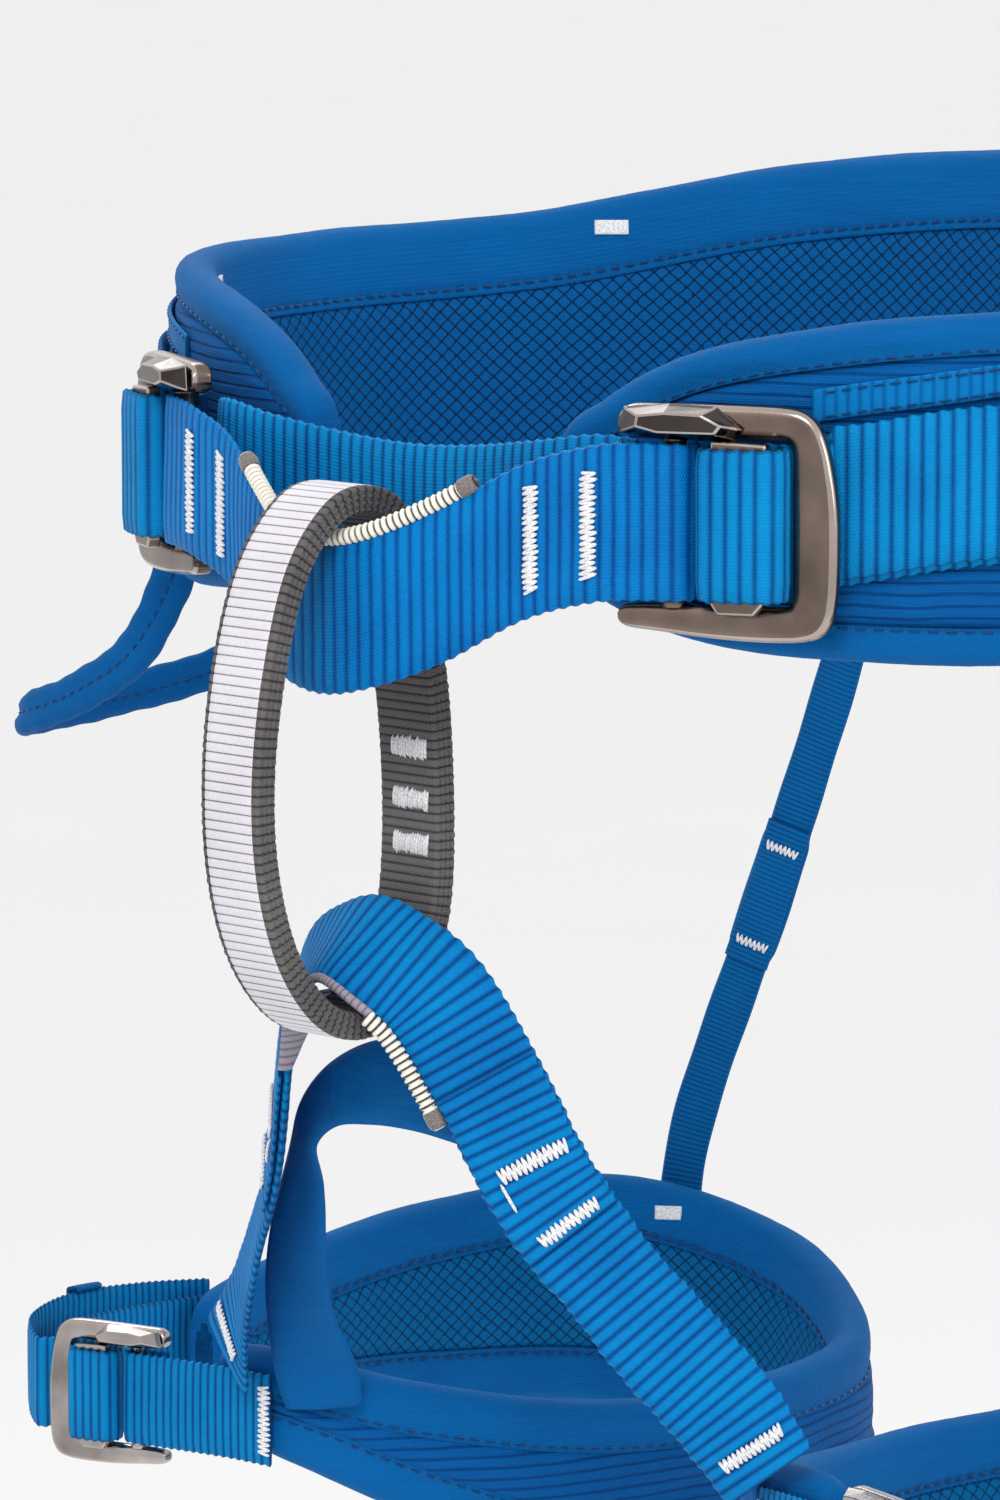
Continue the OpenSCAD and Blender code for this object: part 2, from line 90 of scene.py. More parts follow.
def unit(v):
    return v / np.linalg.norm(v, axis=-1, keepdims=True)


def mirrored(points):
    q = np.array(points, float)
    q[:, 0] *= -1
    return q


def both_ways(points):
    """A curve given from the middle outwards, made whole by its mirror image."""
    p = np.array(points, float)
    return np.vstack([mirrored(p[1:])[::-1], p])


def run_length(points):
    """Distance run along a line of points, from 0 at the first."""
    return np.concatenate([[0], np.cumsum(np.linalg.norm(np.diff(points, axis=0), axis=1))])


def even(points, a, b, step):
    """Curve positions from a to b, equally spaced along the curve, and their arc lengths."""
    s = np.linspace(a, b, 1500)
    run = run_length(curve(points, s)[:, :3])
    arc = np.linspace(0, run[-1], max(2, int(round(run[-1] / step))) + 1)
    return np.interp(arc, run, s), arc


def wall_frames(path, s):
    """Upright band through points [x, y, low z, high z]: middle, across, outward, width."""
    q = curve(path, s)
    v = curve(path, s + NUDGE) - curve(path, s - NUDGE)
    mid = np.column_stack([q[:, :2], (q[:, 2] + q[:, 3]) / 2])
    normal = np.column_stack([unit(np.stack([v[:, 1], -v[:, 0]], 1)), np.zeros(len(q))])
    return mid, np.tile([0.0, 0.0, 1.0], (len(q), 1)), normal, q[:, 3] - q[:, 2]


def ribbon_frames(path, across, s, width, loop=False):
    """Band along a path in space, leaning as `across` says: middle, across, normal, width."""
    t = unit(curve(path, s + NUDGE, loop) - curve(path, s - NUDGE, loop))
    a = curve(across, s, loop)
    a = unit(a - (a * t).sum(1, keepdims=True) * t)
    return curve(path, s, loop), a, np.cross(t, a), np.full(len(t), float(width))


def wall_at(path):
    return lambda s: wall_frames(path, s)


def ribbon_at(path, across, width, lift=0.0):
    def frames(s):
        mid, a, normal, wide = ribbon_frames(path, across, s, width)
        return mid + normal * lift, a, normal, wide
    return frames


def ring_grid(frames, x, h):
    """Points at x along `across` and h along `normal` of every frame."""
    mid, across, normal = frames[:3]
    return mid[:, None, :] + across[:, None, :] * x[..., None] + normal[:, None, :] * h[..., None]


# ---------------------------------------------------------------- meshes
def linked(name, data):
    """A new object in the scene, holding the data."""
    obj = bpy.data.objects.new(name, data)
    bpy.context.scene.collection.objects.link(obj)
    return obj


def mesh_object(name, points, faces, uv, mats, ids=0, sharp=False):
    """Object from points and UVs in mm, with its faces turned outward."""
    mesh = bpy.data.meshes.new(name)
    mesh.from_pydata((points * MM).tolist(), [], faces)
    mesh.uv_layers.new(name="strap").data.foreach_set("uv", (uv * MM).reshape(-1))
    for mat in mats if isinstance(mats, list) else [mats]:
        mesh.materials.append(mat)
    mesh.polygons.foreach_set("material_index", np.array(np.broadcast_to(ids, len(faces)), np.int32))
    mesh.polygons.foreach_set("use_smooth", np.full(len(faces), not sharp))
    fix_winding(mesh)
    return linked(name, mesh)


def loft(name, rings, u, v, mats, loop=False, face_mat=None, sharp=False):
    """Closed mesh through rings (n, m, 3); u per ring and v per ring point, in mm, become UVs."""
    n, m, _ = rings.shape
    i, j = np.meshgrid(np.arange(n if loop else n - 1), np.arange(m), indexing="ij")
    i2, j2 = (i + 1) % n, (j + 1) % m
    quads = np.stack([i * m + j, i * m + j2, i2 * m + j2, i2 * m + j], -1).reshape(-1, 4)
    faces = [tuple(q) for q in quads]
    u = np.asarray(u, float)
    u_next = np.append(u, u[-1] + (u[1] - u[0]))
    v = np.broadcast_to(np.asarray(v, float), (n, m))
    v_next = np.column_stack([v, v[:, -1] + 1.0])
    corners = [(u_next[i], v_next[i, j]), (u_next[i], v_next[i, j + 1]),
               (u_next[i + 1], v_next[i2, j + 1]), (u_next[i + 1], v_next[i2, j])]
    uv = np.stack([np.stack(corner, -1) for corner in corners], 2).reshape(-1, 2)
    ids = np.zeros(len(faces), int) if face_mat is None else np.asarray(face_mat(i, j)).reshape(-1)
    if not loop:
        faces += [tuple(range(m - 1, -1, -1)), tuple((n - 1) * m + k for k in range(m))]
        uv = np.vstack([uv, np.column_stack([np.full(m, u[0]), v[0, ::-1]]),
                        np.column_stack([np.full(m, u[-1]), v[-1]])])
        ids = np.append(ids, [ids[0], ids[-1]])
    return mesh_object(name, rings.reshape(-1, 3), faces, uv, mats, ids, sharp)


def fix_winding(mesh):
    """Turns every face over if the closed mesh came out inside out."""
    mesh.calc_loop_triangles()
    tri = np.empty(len(mesh.loop_triangles) * 3, int)
    mesh.loop_triangles.foreach_get("vertices", tri)
    co = np.empty(len(mesh.vertices) * 3)
    mesh.vertices.foreach_get("co", co)
    p = co.reshape(-1, 3)[tri.reshape(-1, 3)]
    if np.einsum("ij,ij->i", p[:, 0], np.cross(p[:, 1], p[:, 2])).sum() < 0:
        mesh.flip_normals()


def join(name, parts):
    """Joins meshes that share their list of materials into the first one."""
    if len(parts) > 1:
        with bpy.context.temp_override(active_object=parts[0], selected_editable_objects=parts):
            bpy.ops.object.join()
    parts[0].name = name
    parts[0].data.name = name
    return parts[0]


def mirrored_copy(obj, name):
    """The same piece on the wearer's other side, with its faces kept outward."""
    twin = linked(name, obj.data.copy())
    twin.data.name = name
    for vert in twin.data.vertices:
        vert.co.x *= -1
    twin.data.flip_normals()
    return twin


def strap_ring(k=9):
    """Cross-section of flat webbing as rows of [across -1..1, side], closed at the selvedges."""
    x = np.linspace(-1, 1, k)
    front = [(a, 1.0) for a in x]
    back = [(a, -1.0) for a in x[::-1]]
    return np.array(front + [(1.0, 0.0)] + back + [(-1.0, 0.0)])


RIB_STEPS = 7


def rib_stations(path, a, b, pitch, loop=False):
    """Positions that fit a whole number of ribs between a and b, with their nominal arc length."""
    s = np.linspace(a, b, 2500)
    q = curve(path, s, loop)
    run = run_length(np.column_stack([q[:, :2], q[:, 2:].mean(1)]))
    n = max(1, int(round(run[-1] / pitch))) * RIB_STEPS
    stations = np.interp(np.linspace(0, run[-1], n + 1), run, s)
    u = np.arange(n + 1) * pitch / RIB_STEPS
    return (stations[:-1], u[:-1]) if loop else (stations, u)


def ribbed(name, path, frame_at, a, b, mat, thick, pitch=3.0, amp=0.28, edge=0.5, wave=0.12,
           seed=0.0, k=9, narrow=None, shift=0.0):
    """Woven strap with raised ribs across it, as real geometry; its edges are rounded."""
    s, u = rib_stations(path, a, b, pitch)
    frames = frame_at(s)
    width = frames[3]
    x, side = strap_ring(k).T
    rim = np.abs(x) > 0.999
    if narrow is not None:
        width = width * narrow(u / u[-1])
    inset = np.where(rim & (side != 0), edge, 0.0)
    scallop = 0.18 * np.sin(2 * math.pi * u / pitch)[:, None] * rim if amp > 0.1 else 0.0
    across_mm = x * (width[:, None] / 2 - inset) + scallop * np.sign(x) + shift
    soft = np.clip(1.0 - np.abs(x) ** 12, 0.0, 1.0)
    rib = np.abs(np.sin(math.pi * u / pitch)) ** 0.6 - 0.6
    h = side * (thick / 2 - amp * 0.4) * np.where(rim, 0.72, 1.0) + side * amp * rib[:, None] * soft
    drift = wave * np.sin(u / 17.0 + seed)[:, None] * np.cos(x * 2.2 + u[:, None] / 31.0 + seed)
    v = (x + np.where(side < 0, 3.0, 0.0)) * 15.0
    return loft(name, ring_grid(frames, across_mm, h + drift), u, v, mat)


def strap(name, path, mat, thick, **weave):
    """Upright strap over the whole of its path."""
    return ribbed(name, path, wall_at(path), 0, len(path) - 1, MAT[mat], thick, **weave)


# ---------------------------------------------------------------- materials
class Graph:
    """Small helper that builds shader nodes."""

    def __init__(self, name):
        self.mat = bpy.data.materials.new(name)
        self.mat.use_nodes = True
        self.tree = self.mat.node_tree
        self.shader = self.tree.nodes["Principled BSDF"]

    def node(self, kind, **settings):
        n = self.tree.nodes.new(kind)
        for key, value in settings.items():
            setattr(n, key, value)
        return n

    def feed(self, socket, value):
        """Links an output to the socket, or sets its number or colour."""
        if hasattr(value, "is_output"):
            self.tree.links.new(value, socket)
        else:
            socket.default_value = (*value, 1.0) if isinstance(value, tuple) else value

    def math(self, op, *values):
        n = self.node("ShaderNodeMath", operation=op)
        for socket, value in zip(n.inputs, values):
            self.feed(socket, value)
        return n.outputs[0]

    def add(self, a, b):
        return self.math("ADD", a, b)

    def times(self, a, b):
        return self.math("MULTIPLY", a, b)

    def tint(self, tone, pattern, amount):
        """Moves the tone up and down by half the amount as the pattern goes from 0 to 1."""
        return self.add(tone, self.math("MULTIPLY_ADD", pattern, amount, -amount / 2))

    def uv(self):
        split = self.node("ShaderNodeSeparateXYZ")
        self.feed(split.inputs[0], self.node("ShaderNodeUVMap", uv_map="strap").outputs[0])
        return split.outputs[0], split.outputs[1]

    def noise(self, scale, detail=3.0, stretch=None):
        n = self.node("ShaderNodeTexNoise")
        n.inputs["Scale"].default_value = scale
        n.inputs["Detail"].default_value = detail
        place = self.node("ShaderNodeTexCoord").outputs["Object"]
        if stretch:
            m = self.node("ShaderNodeMapping")
            self.feed(m.inputs["Vector"], place)
            m.inputs["Scale"].default_value = stretch
            place = m.outputs[0]
        self.feed(n.inputs["Vector"], place)
        return n.outputs["Fac"]

    def wave(self, coord, pitch):
        """0..1 cosine wave of the given pitch in mm."""
        angle = self.times(coord, 2 * math.pi / (pitch * MM))
        return self.math("MULTIPLY_ADD", self.math("COSINE", angle), 0.5, 0.5)

    def peaks(self, coord, pitch, sharp):
        """The same wave with narrower crests."""
        return self.math("POWER", self.wave(coord, pitch), sharp)

    def ramp(self, fac, *stops):
        n = self.node("ShaderNodeValToRGB")
        while len(n.color_ramp.elements) < len(stops):
            n.color_ramp.elements.new(0.5)
        for el, (pos, col) in zip(n.color_ramp.elements, stops):
            el.position = pos
            el.color = (*col, 1.0)
        self.feed(n.inputs[0], fac)
        return n.outputs[0]

    def mix(self, fac, a, b):
        n = self.node("ShaderNodeMix", data_type="RGBA")
        self.feed(n.inputs["Factor"], fac)
        for key, value in (("A", a), ("B", b)):
            self.feed([s for s in n.inputs if s.name == key and s.type == "RGBA"][0], value)
        return [s for s in n.outputs if s.type == "RGBA"][0]

    def bump(self, height, depth, strength):
        n = self.node("ShaderNodeBump")
        n.inputs["Strength"].default_value = strength
        n.inputs["Distance"].default_value = depth
        self.feed(n.inputs["Height"], height)
        self.feed(self.shader.inputs["Normal"], n.outputs[0])

    def finish(self, colour, rough, metallic=0.0, sheen=0.0, sheen_tint=(1, 1, 1)):
        s = self.shader.inputs
        self.feed(s["Base Color"], colour)
        self.feed(s["Roughness"], rough)
        s["Metallic"].default_value = metallic
        s["Sheen Weight"].default_value = sheen
        s["Sheen Roughness"].default_value = 0.4
        s["Sheen Tint"].default_value = (*sheen_tint, 1.0)
        s["Specular IOR Level"].default_value = 0.5 if metallic else 0.07
        return self.mat


SHEEN_BLUE = (0.3, 0.65, 1.0)


def woven(name, deep, mid, bright, rib=3.0, yarn=0.55, rough=0.55, sheen=0.06, sharp=3.0, dark=0.5):
    """Webbing: painted highlight on the rib backs, painted shade in the grooves between them, twill yarns and
    slight fading.
    """
    g = Graph(name)
    u, v = g.uv()
    groove = g.peaks(u, rib, sharp)
    yarns = g.times(g.wave(g.add(u, g.times(v, 0.45)), yarn), g.wave(v, yarn * 1.25))
    cloud = g.noise(42.0, 2.0)
    fine = g.noise(900.0, 2.0)
    # painted shade: the tone drops by `dark` in each groove between ribs, so the rib backs stay lighter as a
    # painted highlight
    tone = g.math("MULTIPLY_ADD", groove, -dark, 0.66)
    tone = g.tint(g.tint(g.tint(tone, yarns, 0.16), cloud, 0.40), fine, 0.16)
    colour = g.ramp(tone, (0.0, deep), (0.5, mid), (1.0, bright))
    g.bump(g.add(yarns, g.times(fine, 0.6)), 0.00016, 0.8)
    return g.finish(colour, g.math("MULTIPLY_ADD", fine, 0.2, rough - 0.1), 0.0, sheen, SHEEN_BLUE)


def soft_shell(name, deep, mid, bright, crease=0.0):
    """Smooth stretch-woven cover: very fine weave, faint lengthwise streaks and pressed creases, bumped and
    darkened along their lines as painted shade.
    """
    g = Graph(name)
    u, v = g.uv()
    weave = g.times(g.wave(u, 0.5), g.wave(v, 0.5))
    streak = g.noise(1.0, 3.0, stretch=(60.0, 60.0, 900.0))
    cloud = g.noise(22.0, 3.0)
    tone = g.math("MULTIPLY_ADD", streak, 0.30, 0.35)
    tone = g.tint(g.tint(tone, cloud, 0.36), weave, 0.10)
    pleat = g.peaks(g.add(v, g.times(cloud, 0.0035)), 2.4, 7.0)
    # painted shade: the colour darkens by `crease` along each crease line
    tone = g.add(tone, g.times(pleat, -crease))
    colour = g.ramp(tone, (0.0, deep), (0.5, mid), (1.0, bright))
    g.bump(g.add(g.math("MULTIPLY_ADD", pleat, -6.0 * crease, weave), g.times(streak, 1.5)), 0.00018, 0.8)
    return g.finish(colour, 0.66, 0.0, 0.08, SHEEN_BLUE)


def spacer_mesh(name, ground, thread, pitch=3.8):
    """Lining: blue ground crossed both ways by fine dark threads, with a knot at each crossing."""
    g = Graph(name)
    u, v = g.uv()
    leaning = g.times(v, 1.15)
    coords = [g.add(u, leaning), g.math("SUBTRACT", u, leaning)]
    wobble = g.math("MULTIPLY_ADD", g.noise(120.0, 2.0), 0.0016, -0.0008)
    lines = [g.peaks(g.add(coord, wobble), pitch, 42.0) for coord in coords]
    knot = g.times(*[g.peaks(coord, pitch, 5.0) for coord in coords])
    net = g.math("MINIMUM", g.math("MAXIMUM", g.math("MAXIMUM", *lines), knot), 1.0)
    cloth = g.times(g.wave(u, 0.8), g.wave(v, 0.8))
    tone = g.add(g.math("MULTIPLY_ADD", cloth, 0.25, 0.3), g.times(g.noise(30.0), 0.35))
    base = g.ramp(tone, (0.1, tuple(c * 0.62 for c in ground)), (0.9, ground))
    colour = g.mix(g.times(net, 0.93), base, thread)
    g.bump(g.add(g.times(net, -1.0), g.times(cloth, 0.25)), 0.00045, 0.8)
    return g.finish(colour, 0.75, 0.0, 0.05, SHEEN_BLUE)


def thread_mat(name, colour, dark):
    g = Graph(name)
    twist = g.noise(2600.0, 2.0)
    g.bump(twist, 0.0001, 0.6)
    return g.finish(g.ramp(twist, (0.3, dark), (0.65, colour)), 0.5, sheen=0.3)


def metal(name, colour, dark, rough):
    """Polished forged alloy: faint tumbling marks, slight tint changes and soft smears."""
    g = Graph(name)
    smear = g.noise(70.0, 4.0)
    fine = g.noise(1400.0, 3.0, stretch=(1.0, 1.0, 0.25))
    g.bump(g.add(g.times(fine, 0.15), smear), 0.00012, 0.35)
    return g.finish(g.ramp(smear, (0.3, dark), (0.7, colour)), g.math("MULTIPLY_ADD", fine, 0.14, rough), 1.0)


def wound_cord(name, light, dark, pitch):
    """Piping: pale thread wound in separate turns, dark in the grooves between them."""
    g = Graph(name)
    u, _ = g.uv()
    fine = g.noise(1800.0, 2.0)
    tone = g.tint(g.peaks(u, pitch, 2.2), fine, 0.3)
    colour = g.ramp(tone, (0.15, light), (0.62, tuple(0.4 * c for c in light)), (0.85, dark))
    g.bump(fine, 0.0001, 0.5)
    return g.finish(colour, 0.6, sheen=0.2)


# webbing ramps: the dark end is reached mostly in the rib grooves as painted shade, the light end on the rib
# backs as painted highlight, with random tone between
DEEP, BLUE, SKY = (0, 0.032, 0.155), (0, 0.165, 0.436), (0, 0.329, 0.679)
MAT = {
    "web": woven("webbing_blue", DEEP, BLUE, SKY),
    "riser": woven("riser_blue", DEEP, (0, 0.142, 0.43), (0, 0.35, 0.72), rib=2.6),
    "leg_web": woven("leg_webbing_blue", DEEP, BLUE, SKY, rib=2.0, yarn=0.45),
    "elastic": woven("elastic_blue", (0, 0.045, 0.183), (0, 0.118, 0.359), (0, 0.172, 0.467),
                     rib=1.2, yarn=0.4, rough=0.65),
    "belay_white": woven("belay_white", (0.16, 0.15, 0.17), (0.66, 0.63, 0.68), (0.86, 0.84, 0.88),
                         rib=1.9, yarn=0.5, sharp=14.0, dark=0.62),
    "belay_grey": woven("belay_grey", (0.012, 0.012, 0.013), (0.10, 0.092, 0.092), (0.21, 0.20, 0.20),
                        rib=1.9, yarn=0.7, sharp=5.0),
    # shell: crease=0.42 darkens its crease lines as painted shade
    "shell": soft_shell("shell_blue", (0, 0.041, 0.175), (0, 0.09, 0.317), (0, 0.131, 0.401), crease=0.42),
    "binding": soft_shell("binding_blue", (0, 0.054, 0.208), (0, 0.104, 0.334), (0, 0.144, 0.426)),
    "lining": spacer_mesh("lining_mesh", (0, 0.095, 0.317), (0.001, 0.005, 0.012)),
    "leg_lining": spacer_mesh("leg_lining_mesh", (0, 0.122, 0.339), (0, 0.015, 0.049), pitch=3.6),
    "tie": woven("tie_in_blue", (0, 0.027, 0.158), (0, 0.135, 0.433), (0, 0.298, 0.684), rough=0.42, dark=0.42),
    "wing": woven("wing_panel_blue", (0, 0.054, 0.217), (0, 0.108, 0.367), (0, 0.153, 0.458),
                  rib=2.0, rough=0.62),
    "tape": woven("outer_tape_blue", (0, 0.09, 0.3), (0, 0.172, 0.501), (0.005, 0.243, 0.617), rib=2.4),
    "white": thread_mat("thread_white", (0.85, 0.85, 0.87), (0.48, 0.48, 0.50)),
    "blue_thread": thread_mat("thread_blue", (0, 0.061, 0.213), (0, 0.024, 0.097)),
    "cord": wound_cord("piping_wound", (0.80, 0.77, 0.68), (0.035, 0.03, 0.03), 1.45),
    "tab": thread_mat("piping_tab", (0.24, 0.21, 0.20), (0.12, 0.10, 0.10)),
    "sleeve": woven("wear_sleeve_grey", (0.14, 0.12, 0.15), (0.34, 0.30, 0.36), (0.52, 0.48, 0.54),
                    rib=1.4, yarn=0.5, sheen=0.1),
    "gear": soft_shell("gear_sleeve_blue", (0, 0.042, 0.17), (0, 0.09, 0.30), (0, 0.14, 0.41)),
    "bronze": metal("buckle_bronze", (0.23, 0.175, 0.15), (0.13, 0.095, 0.08), 0.22),
    # painted reflection: a darker copy of the bronze on the waist slider's lug, standing in for the dark
    # reflections of its polished facets
    "bronze_lug": metal("buckle_lug_painted_dark_reflection", (0.10, 0.086, 0.08), (0.035, 0.03, 0.028), 0.10),
    # painted highlight: a lighter copy of the bronze, put on the bevels of both buckles
    "bevel": metal("buckle_bevel_painted_highlight", (0.50, 0.43, 0.38), (0.34, 0.29, 0.26), 0.12),
    "steel": metal("leg_buckle_steel", (0.50, 0.46, 0.45), (0.22, 0.19, 0.18), 0.14),
}


# ---------------------------------------------------------------- stitches and rolled edges
TACK_STEP = 1.15
SEAM_PITCH, SEAM_DASH, SEAM_LIFT = 3.4, 2.3, 0.12
STITCH_ALONG = np.array([0.0, 0.12, 0.5, 0.88, 1.0])
STITCH_SIZE = np.array([0.45, 0.92, 1.0, 0.92, 0.45])
STITCH_LIFT = np.array([-0.5, 0.1, 0.35, 0.1, -0.5])


def tube_rings(points, normals, radius, k=6):
    """Rings of k points round a polyline; normals only set where the seam lies."""
    p = np.asarray(points, float)
    t = unit(np.gradient(p, axis=0))
    n = np.asarray(normals, float)
    n = unit(n - (n * t).sum(1, keepdims=True) * t)
    b = np.cross(t, n)
    r = np.broadcast_to(np.asarray(radius, float), (len(p),))[:, None]
    a = np.arange(k) * 2 * math.pi / k
    return np.stack([p + r * (math.cos(x) * n + math.sin(x) * b) for x in a], 1)


def capsule_rings(a, b, n, radius):
    """A short fat stitch from a to b with tapered ends, lying on the surface with normal n."""
    a, b, n = (np.asarray(q, float) for q in (a, b, n))
    p = a + (b - a) * STITCH_ALONG[:, None] + n * (STITCH_LIFT * radius)[:, None]
    return tube_rings(p, np.tile(n, (5, 1)), STITCH_SIZE * radius)


def stitches(name, segments, radius, mat="white"):
    """One mesh of many separate stitches; each segment is (start, end, surface normal)."""
    rings = np.array([capsule_rings(a, b, n, radius) for a, b, n in segments])
    rows, k = rings.shape[1:3]
    faces, corners = [], []
    for i in range(rows - 1):
        for j in range(k):
            j2 = (j + 1) % k
            faces.append((i * k + j, i * k + j2, (i + 1) * k + j2, (i + 1) * k + j))
            corners += [(i, j), (i, j + 1), (i + 1, j + 1), (i + 1, j)]
    faces += [tuple(reversed(range(k))), tuple(range((rows - 1) * k, rows * k))]
    corners += [(0, 0)] * (2 * k)
    starts = range(0, len(segments) * rows * k, rows * k)
    faces = [tuple(start + q for q in face) for start in starts for face in faces]
    uv = np.tile(np.array(corners, float), (len(segments), 1))
    return mesh_object(name, rings.reshape(-1, 3), faces, uv, MAT[mat])


def tack(frame_at, s0, length, width, lift, seed, shift=0.0):
    """Bartack at s0 on a strap: tight crossing stitches, `length` across it and `width` along it."""
    mid, across, normal, _ = frame_at(np.array([s0 - 0.02, s0, s0 + 0.02]))
    along = unit(mid[2] - mid[0])

    def spot(x, y):
        return mid[1] + along * x + across[1] * (y + shift) + normal[1] * lift
    rng = np.random.default_rng(seed)
    count = int(round(length / TACK_STEP))
    out = []
    for i in range(count):
        y0, y1, y2 = [((i + part) / count - 0.5) * length for part in (0, 0.5, 1)]
        w0, w1 = width / 2 * rng.uniform(0.8, 1.12, 2)
        far = spot(w1, y1)
        out += [(spot(-w0, y0), far, normal[1]), (far, spot(-w0, y2), normal[1])]
    return out


# ---------------------------------------------------------------- routes, as in part.scad
TIP_U, FULL_U, TIP_INSET = 17.0, 65.0, 12.0
EDGES_HALF = [(17, -12, 1), (22, -19, 13), (30, -25, 22), (42, -28, 28), (60, -29, 32),
              (90, -30, 33), (120, -33, 36), (150, -42, 47)]
EDGES = EDGES_HALF + [(180, -45, 52)] + [(360 - u, lo, hi) for u, lo, hi in reversed(EDGES_HALF)]
WEB_MID_HALF = [(36, -4.5), (48, 0), (62, 4), (90, 4), (120, 3), (150, 3)]
WEB_MID = WEB_MID_HALF + [(180, 3)] + [(360 - u, z) for u, z in reversed(WEB_MID_HALF)]


def belt(u_deg, d):
    """Point on the belt's ellipse at angle u, pushed out by d and in towards its open front."""
    u_deg = np.asarray(u_deg, float)
    fold = np.minimum(u_deg, 360 - u_deg)
    k = (np.clip(fold, TIP_U, FULL_U) - TIP_U) / (FULL_U - TIP_U)
    u = np.radians(u_deg)
    n = unit(np.stack([np.sin(u) / WAIST_HALF_W, -np.cos(u) / WAIST_HALF_D], -1))
    d = d - TIP_INSET / 2 * (1 + np.cos(math.pi * k))
    return np.stack([WAIST_HALF_W * np.sin(u), -WAIST_HALF_D * np.cos(u)], -1) + n * np.expand_dims(d, -1)


def web_path(d, width, low=0.0):
    """Upright band round the belt on the line of the load webbing, pushed out by d."""
    q = curve(WEB_MID, np.linspace(0, len(WEB_MID) - 1, 61))
    xy = belt(q[:, 0], np.full(len(q), float(d)))
    return np.column_stack([xy, q[:, 1] - width / 2 - low, q[:, 1] + width / 2 - low])


def buckle_spot(p, buckle):
    """A point [x, y] of a buckle's own frame, in the model's plan view."""
    (x, y, _), turn, k = buckle
    c, s = math.cos(math.radians(turn)), math.sin(math.radians(turn))
    return (x + k * (c * p[0] - s * p[1]), y + k * (s * p[0] + c * p[1]))


def upright(xy, mid, width):
    return (xy[0], xy[1], mid - width / 2, mid + width / 2)


def at_waist(p, width=TIE_W, mid=WAIST_BUCKLE_Z):
    return upright(buckle_spot(p, WAIST_BUCKLE), mid, width)


def at_leg(p):
    return upright(buckle_spot(p, LEG_BUCKLE), LEG_BUCKLE_Z, LEG_WEB_W)


BAR_TURN = [(-17, -TURN_R)] + [(BAR_X + TURN_R * math.cos(math.radians(a)), TURN_R * math.sin(math.radians(a)))
                               for a in range(-90, 91, 45)]
TURN = [(12, 2), (12, -3.6), (10.2, -7), (7, -7.6), (0, -7.6), (-2.7, -7), (-4.3, -4.4), (-4.2, -0.8),
        (-1.8, 3.1), (2.5, 5)]
TIE_FRONT = both_ways([upright((0, -123.5), -27.5, 30), upright((12, -122), -25.5, 30),
                       upright((26, -116), -19.5, 31), upright((42, -109), -10, 31),
                       upright((57, -105), -5.5, 31)] + [at_waist(q) for q in BAR_TURN])
TIE_REAR = both_ways([upright((0, -98), -9.5, 31), upright((18, -98.5), -8.5, 31),
                      upright((38, -100.5), -6, 31), upright((52, -99), -4, 31), at_waist((-20, 4.4))])
TIE_MID = (len(TIE_FRONT) - 1) / 2
RING_YZ = [(-104, -22), (-108, -9), (-116, -3.5), (-127, -5.5), (-138, -19), (-145, -45), (-146, -70),
           (-141, -91), (-131, -105), (-119, -109.5), (-106.5, -103.5), (-98.5, -91), (-96.5, -70),
           (-98.5, -42)]
RING = [(0, y, z) for y, z in RING_YZ]
CREST = [(0, -114.5, -92), (9, -113.5, -95), (20, -110, -103), (30, -104.5, -121), (40, -98, -143),
         (56, -89, -165), (71, -80, -184), (80, -76, -197)]
CREST_ACROSS = [(0, 16, 13), (5, 15.5, 13.3), (10, 14, 13.3), (12.5, 13, 13.3), (12.5, 13, 13.3),
                (12.5, 13, 13.3), (12.5, 10, 13.3), (13, 4, 13)]
BRIDGE, BRIDGE_ACROSS = both_ways(CREST), both_ways(CREST_ACROSS)
CREST_I = len(CREST) - 1
LEG_PAD = [(90, -67, -212, -201), (72, -63, -218, -202), (50, -42, -231, -209), (33, -7, -245, -215),
           (29, 35, -253, -216), (43, 82, -258, -214), (84, 106, -250, -202), (122, 88, -238, -191),
           (141, 43, -234, -194), (143, 0, -231, -200), (139, -28, -225, -205)]
LEG_FIXED = ([upright((55.5, -57.5), -214, LEG_WEB_W), upright((68.5, -69), -212, LEG_WEB_W),
              upright((83, -73.5), -211, LEG_WEB_W)]
             + [at_leg(q) for q in BAR_TURN + [(BAR_X - 9, TURN_R - 0.5)]])
LEG_LOAD = [at_leg(q) for q in ((2.5, 5), (7, 6.6), (15, 7.2), (24, 7.4))] + [
    upright(xy, mid, LEG_WEB_W) for xy, mid in (((141, -68), -211), ((146, -50), -212), ((148, -25), -213),
                                                ((149, 0), -214), ((148.8, 20), -214))]
LEG_TAIL = [at_leg((12, 2))] + [at_leg(q) for q in ((14, 3.5), (24, 3.5), (30, 2.8))] + [
    upright(xy, mid, LEG_WEB_W) for xy, mid in (((146, -73), -209), ((152.5, -56), -208), ((153.5, -35), -209),
                                                ((152.5, -14), -211))]
ELASTIC = [(61, 99.3, -38), (62, 100.8, -56), (88, 102, -120), (111, 102, -174), (116.8, 101.8, -206)]
ELASTIC_ACROSS = [(0.92, -0.38, 0), (0.92, -0.38, 0), (0.9, -0.45, 0), (0.9, -0.5, 0), (0.87, -0.5, 0)]
GEAR = [(129, -40, -20), (131, -42, -34), (140, -46, -53), (156, -49, -64), (173, -48, -70), (181, -39, -72),
        (179, -18, -70), (168, 5, -64), (150, 27, -51), (135, 44, -36), (127.5, 50, -20)]
HAUL = both_ways([(0, 117.5, -60), (8, 117.5, -56), (12, 117, -44), (12, 116, -30), (12, 115.3, -17)])


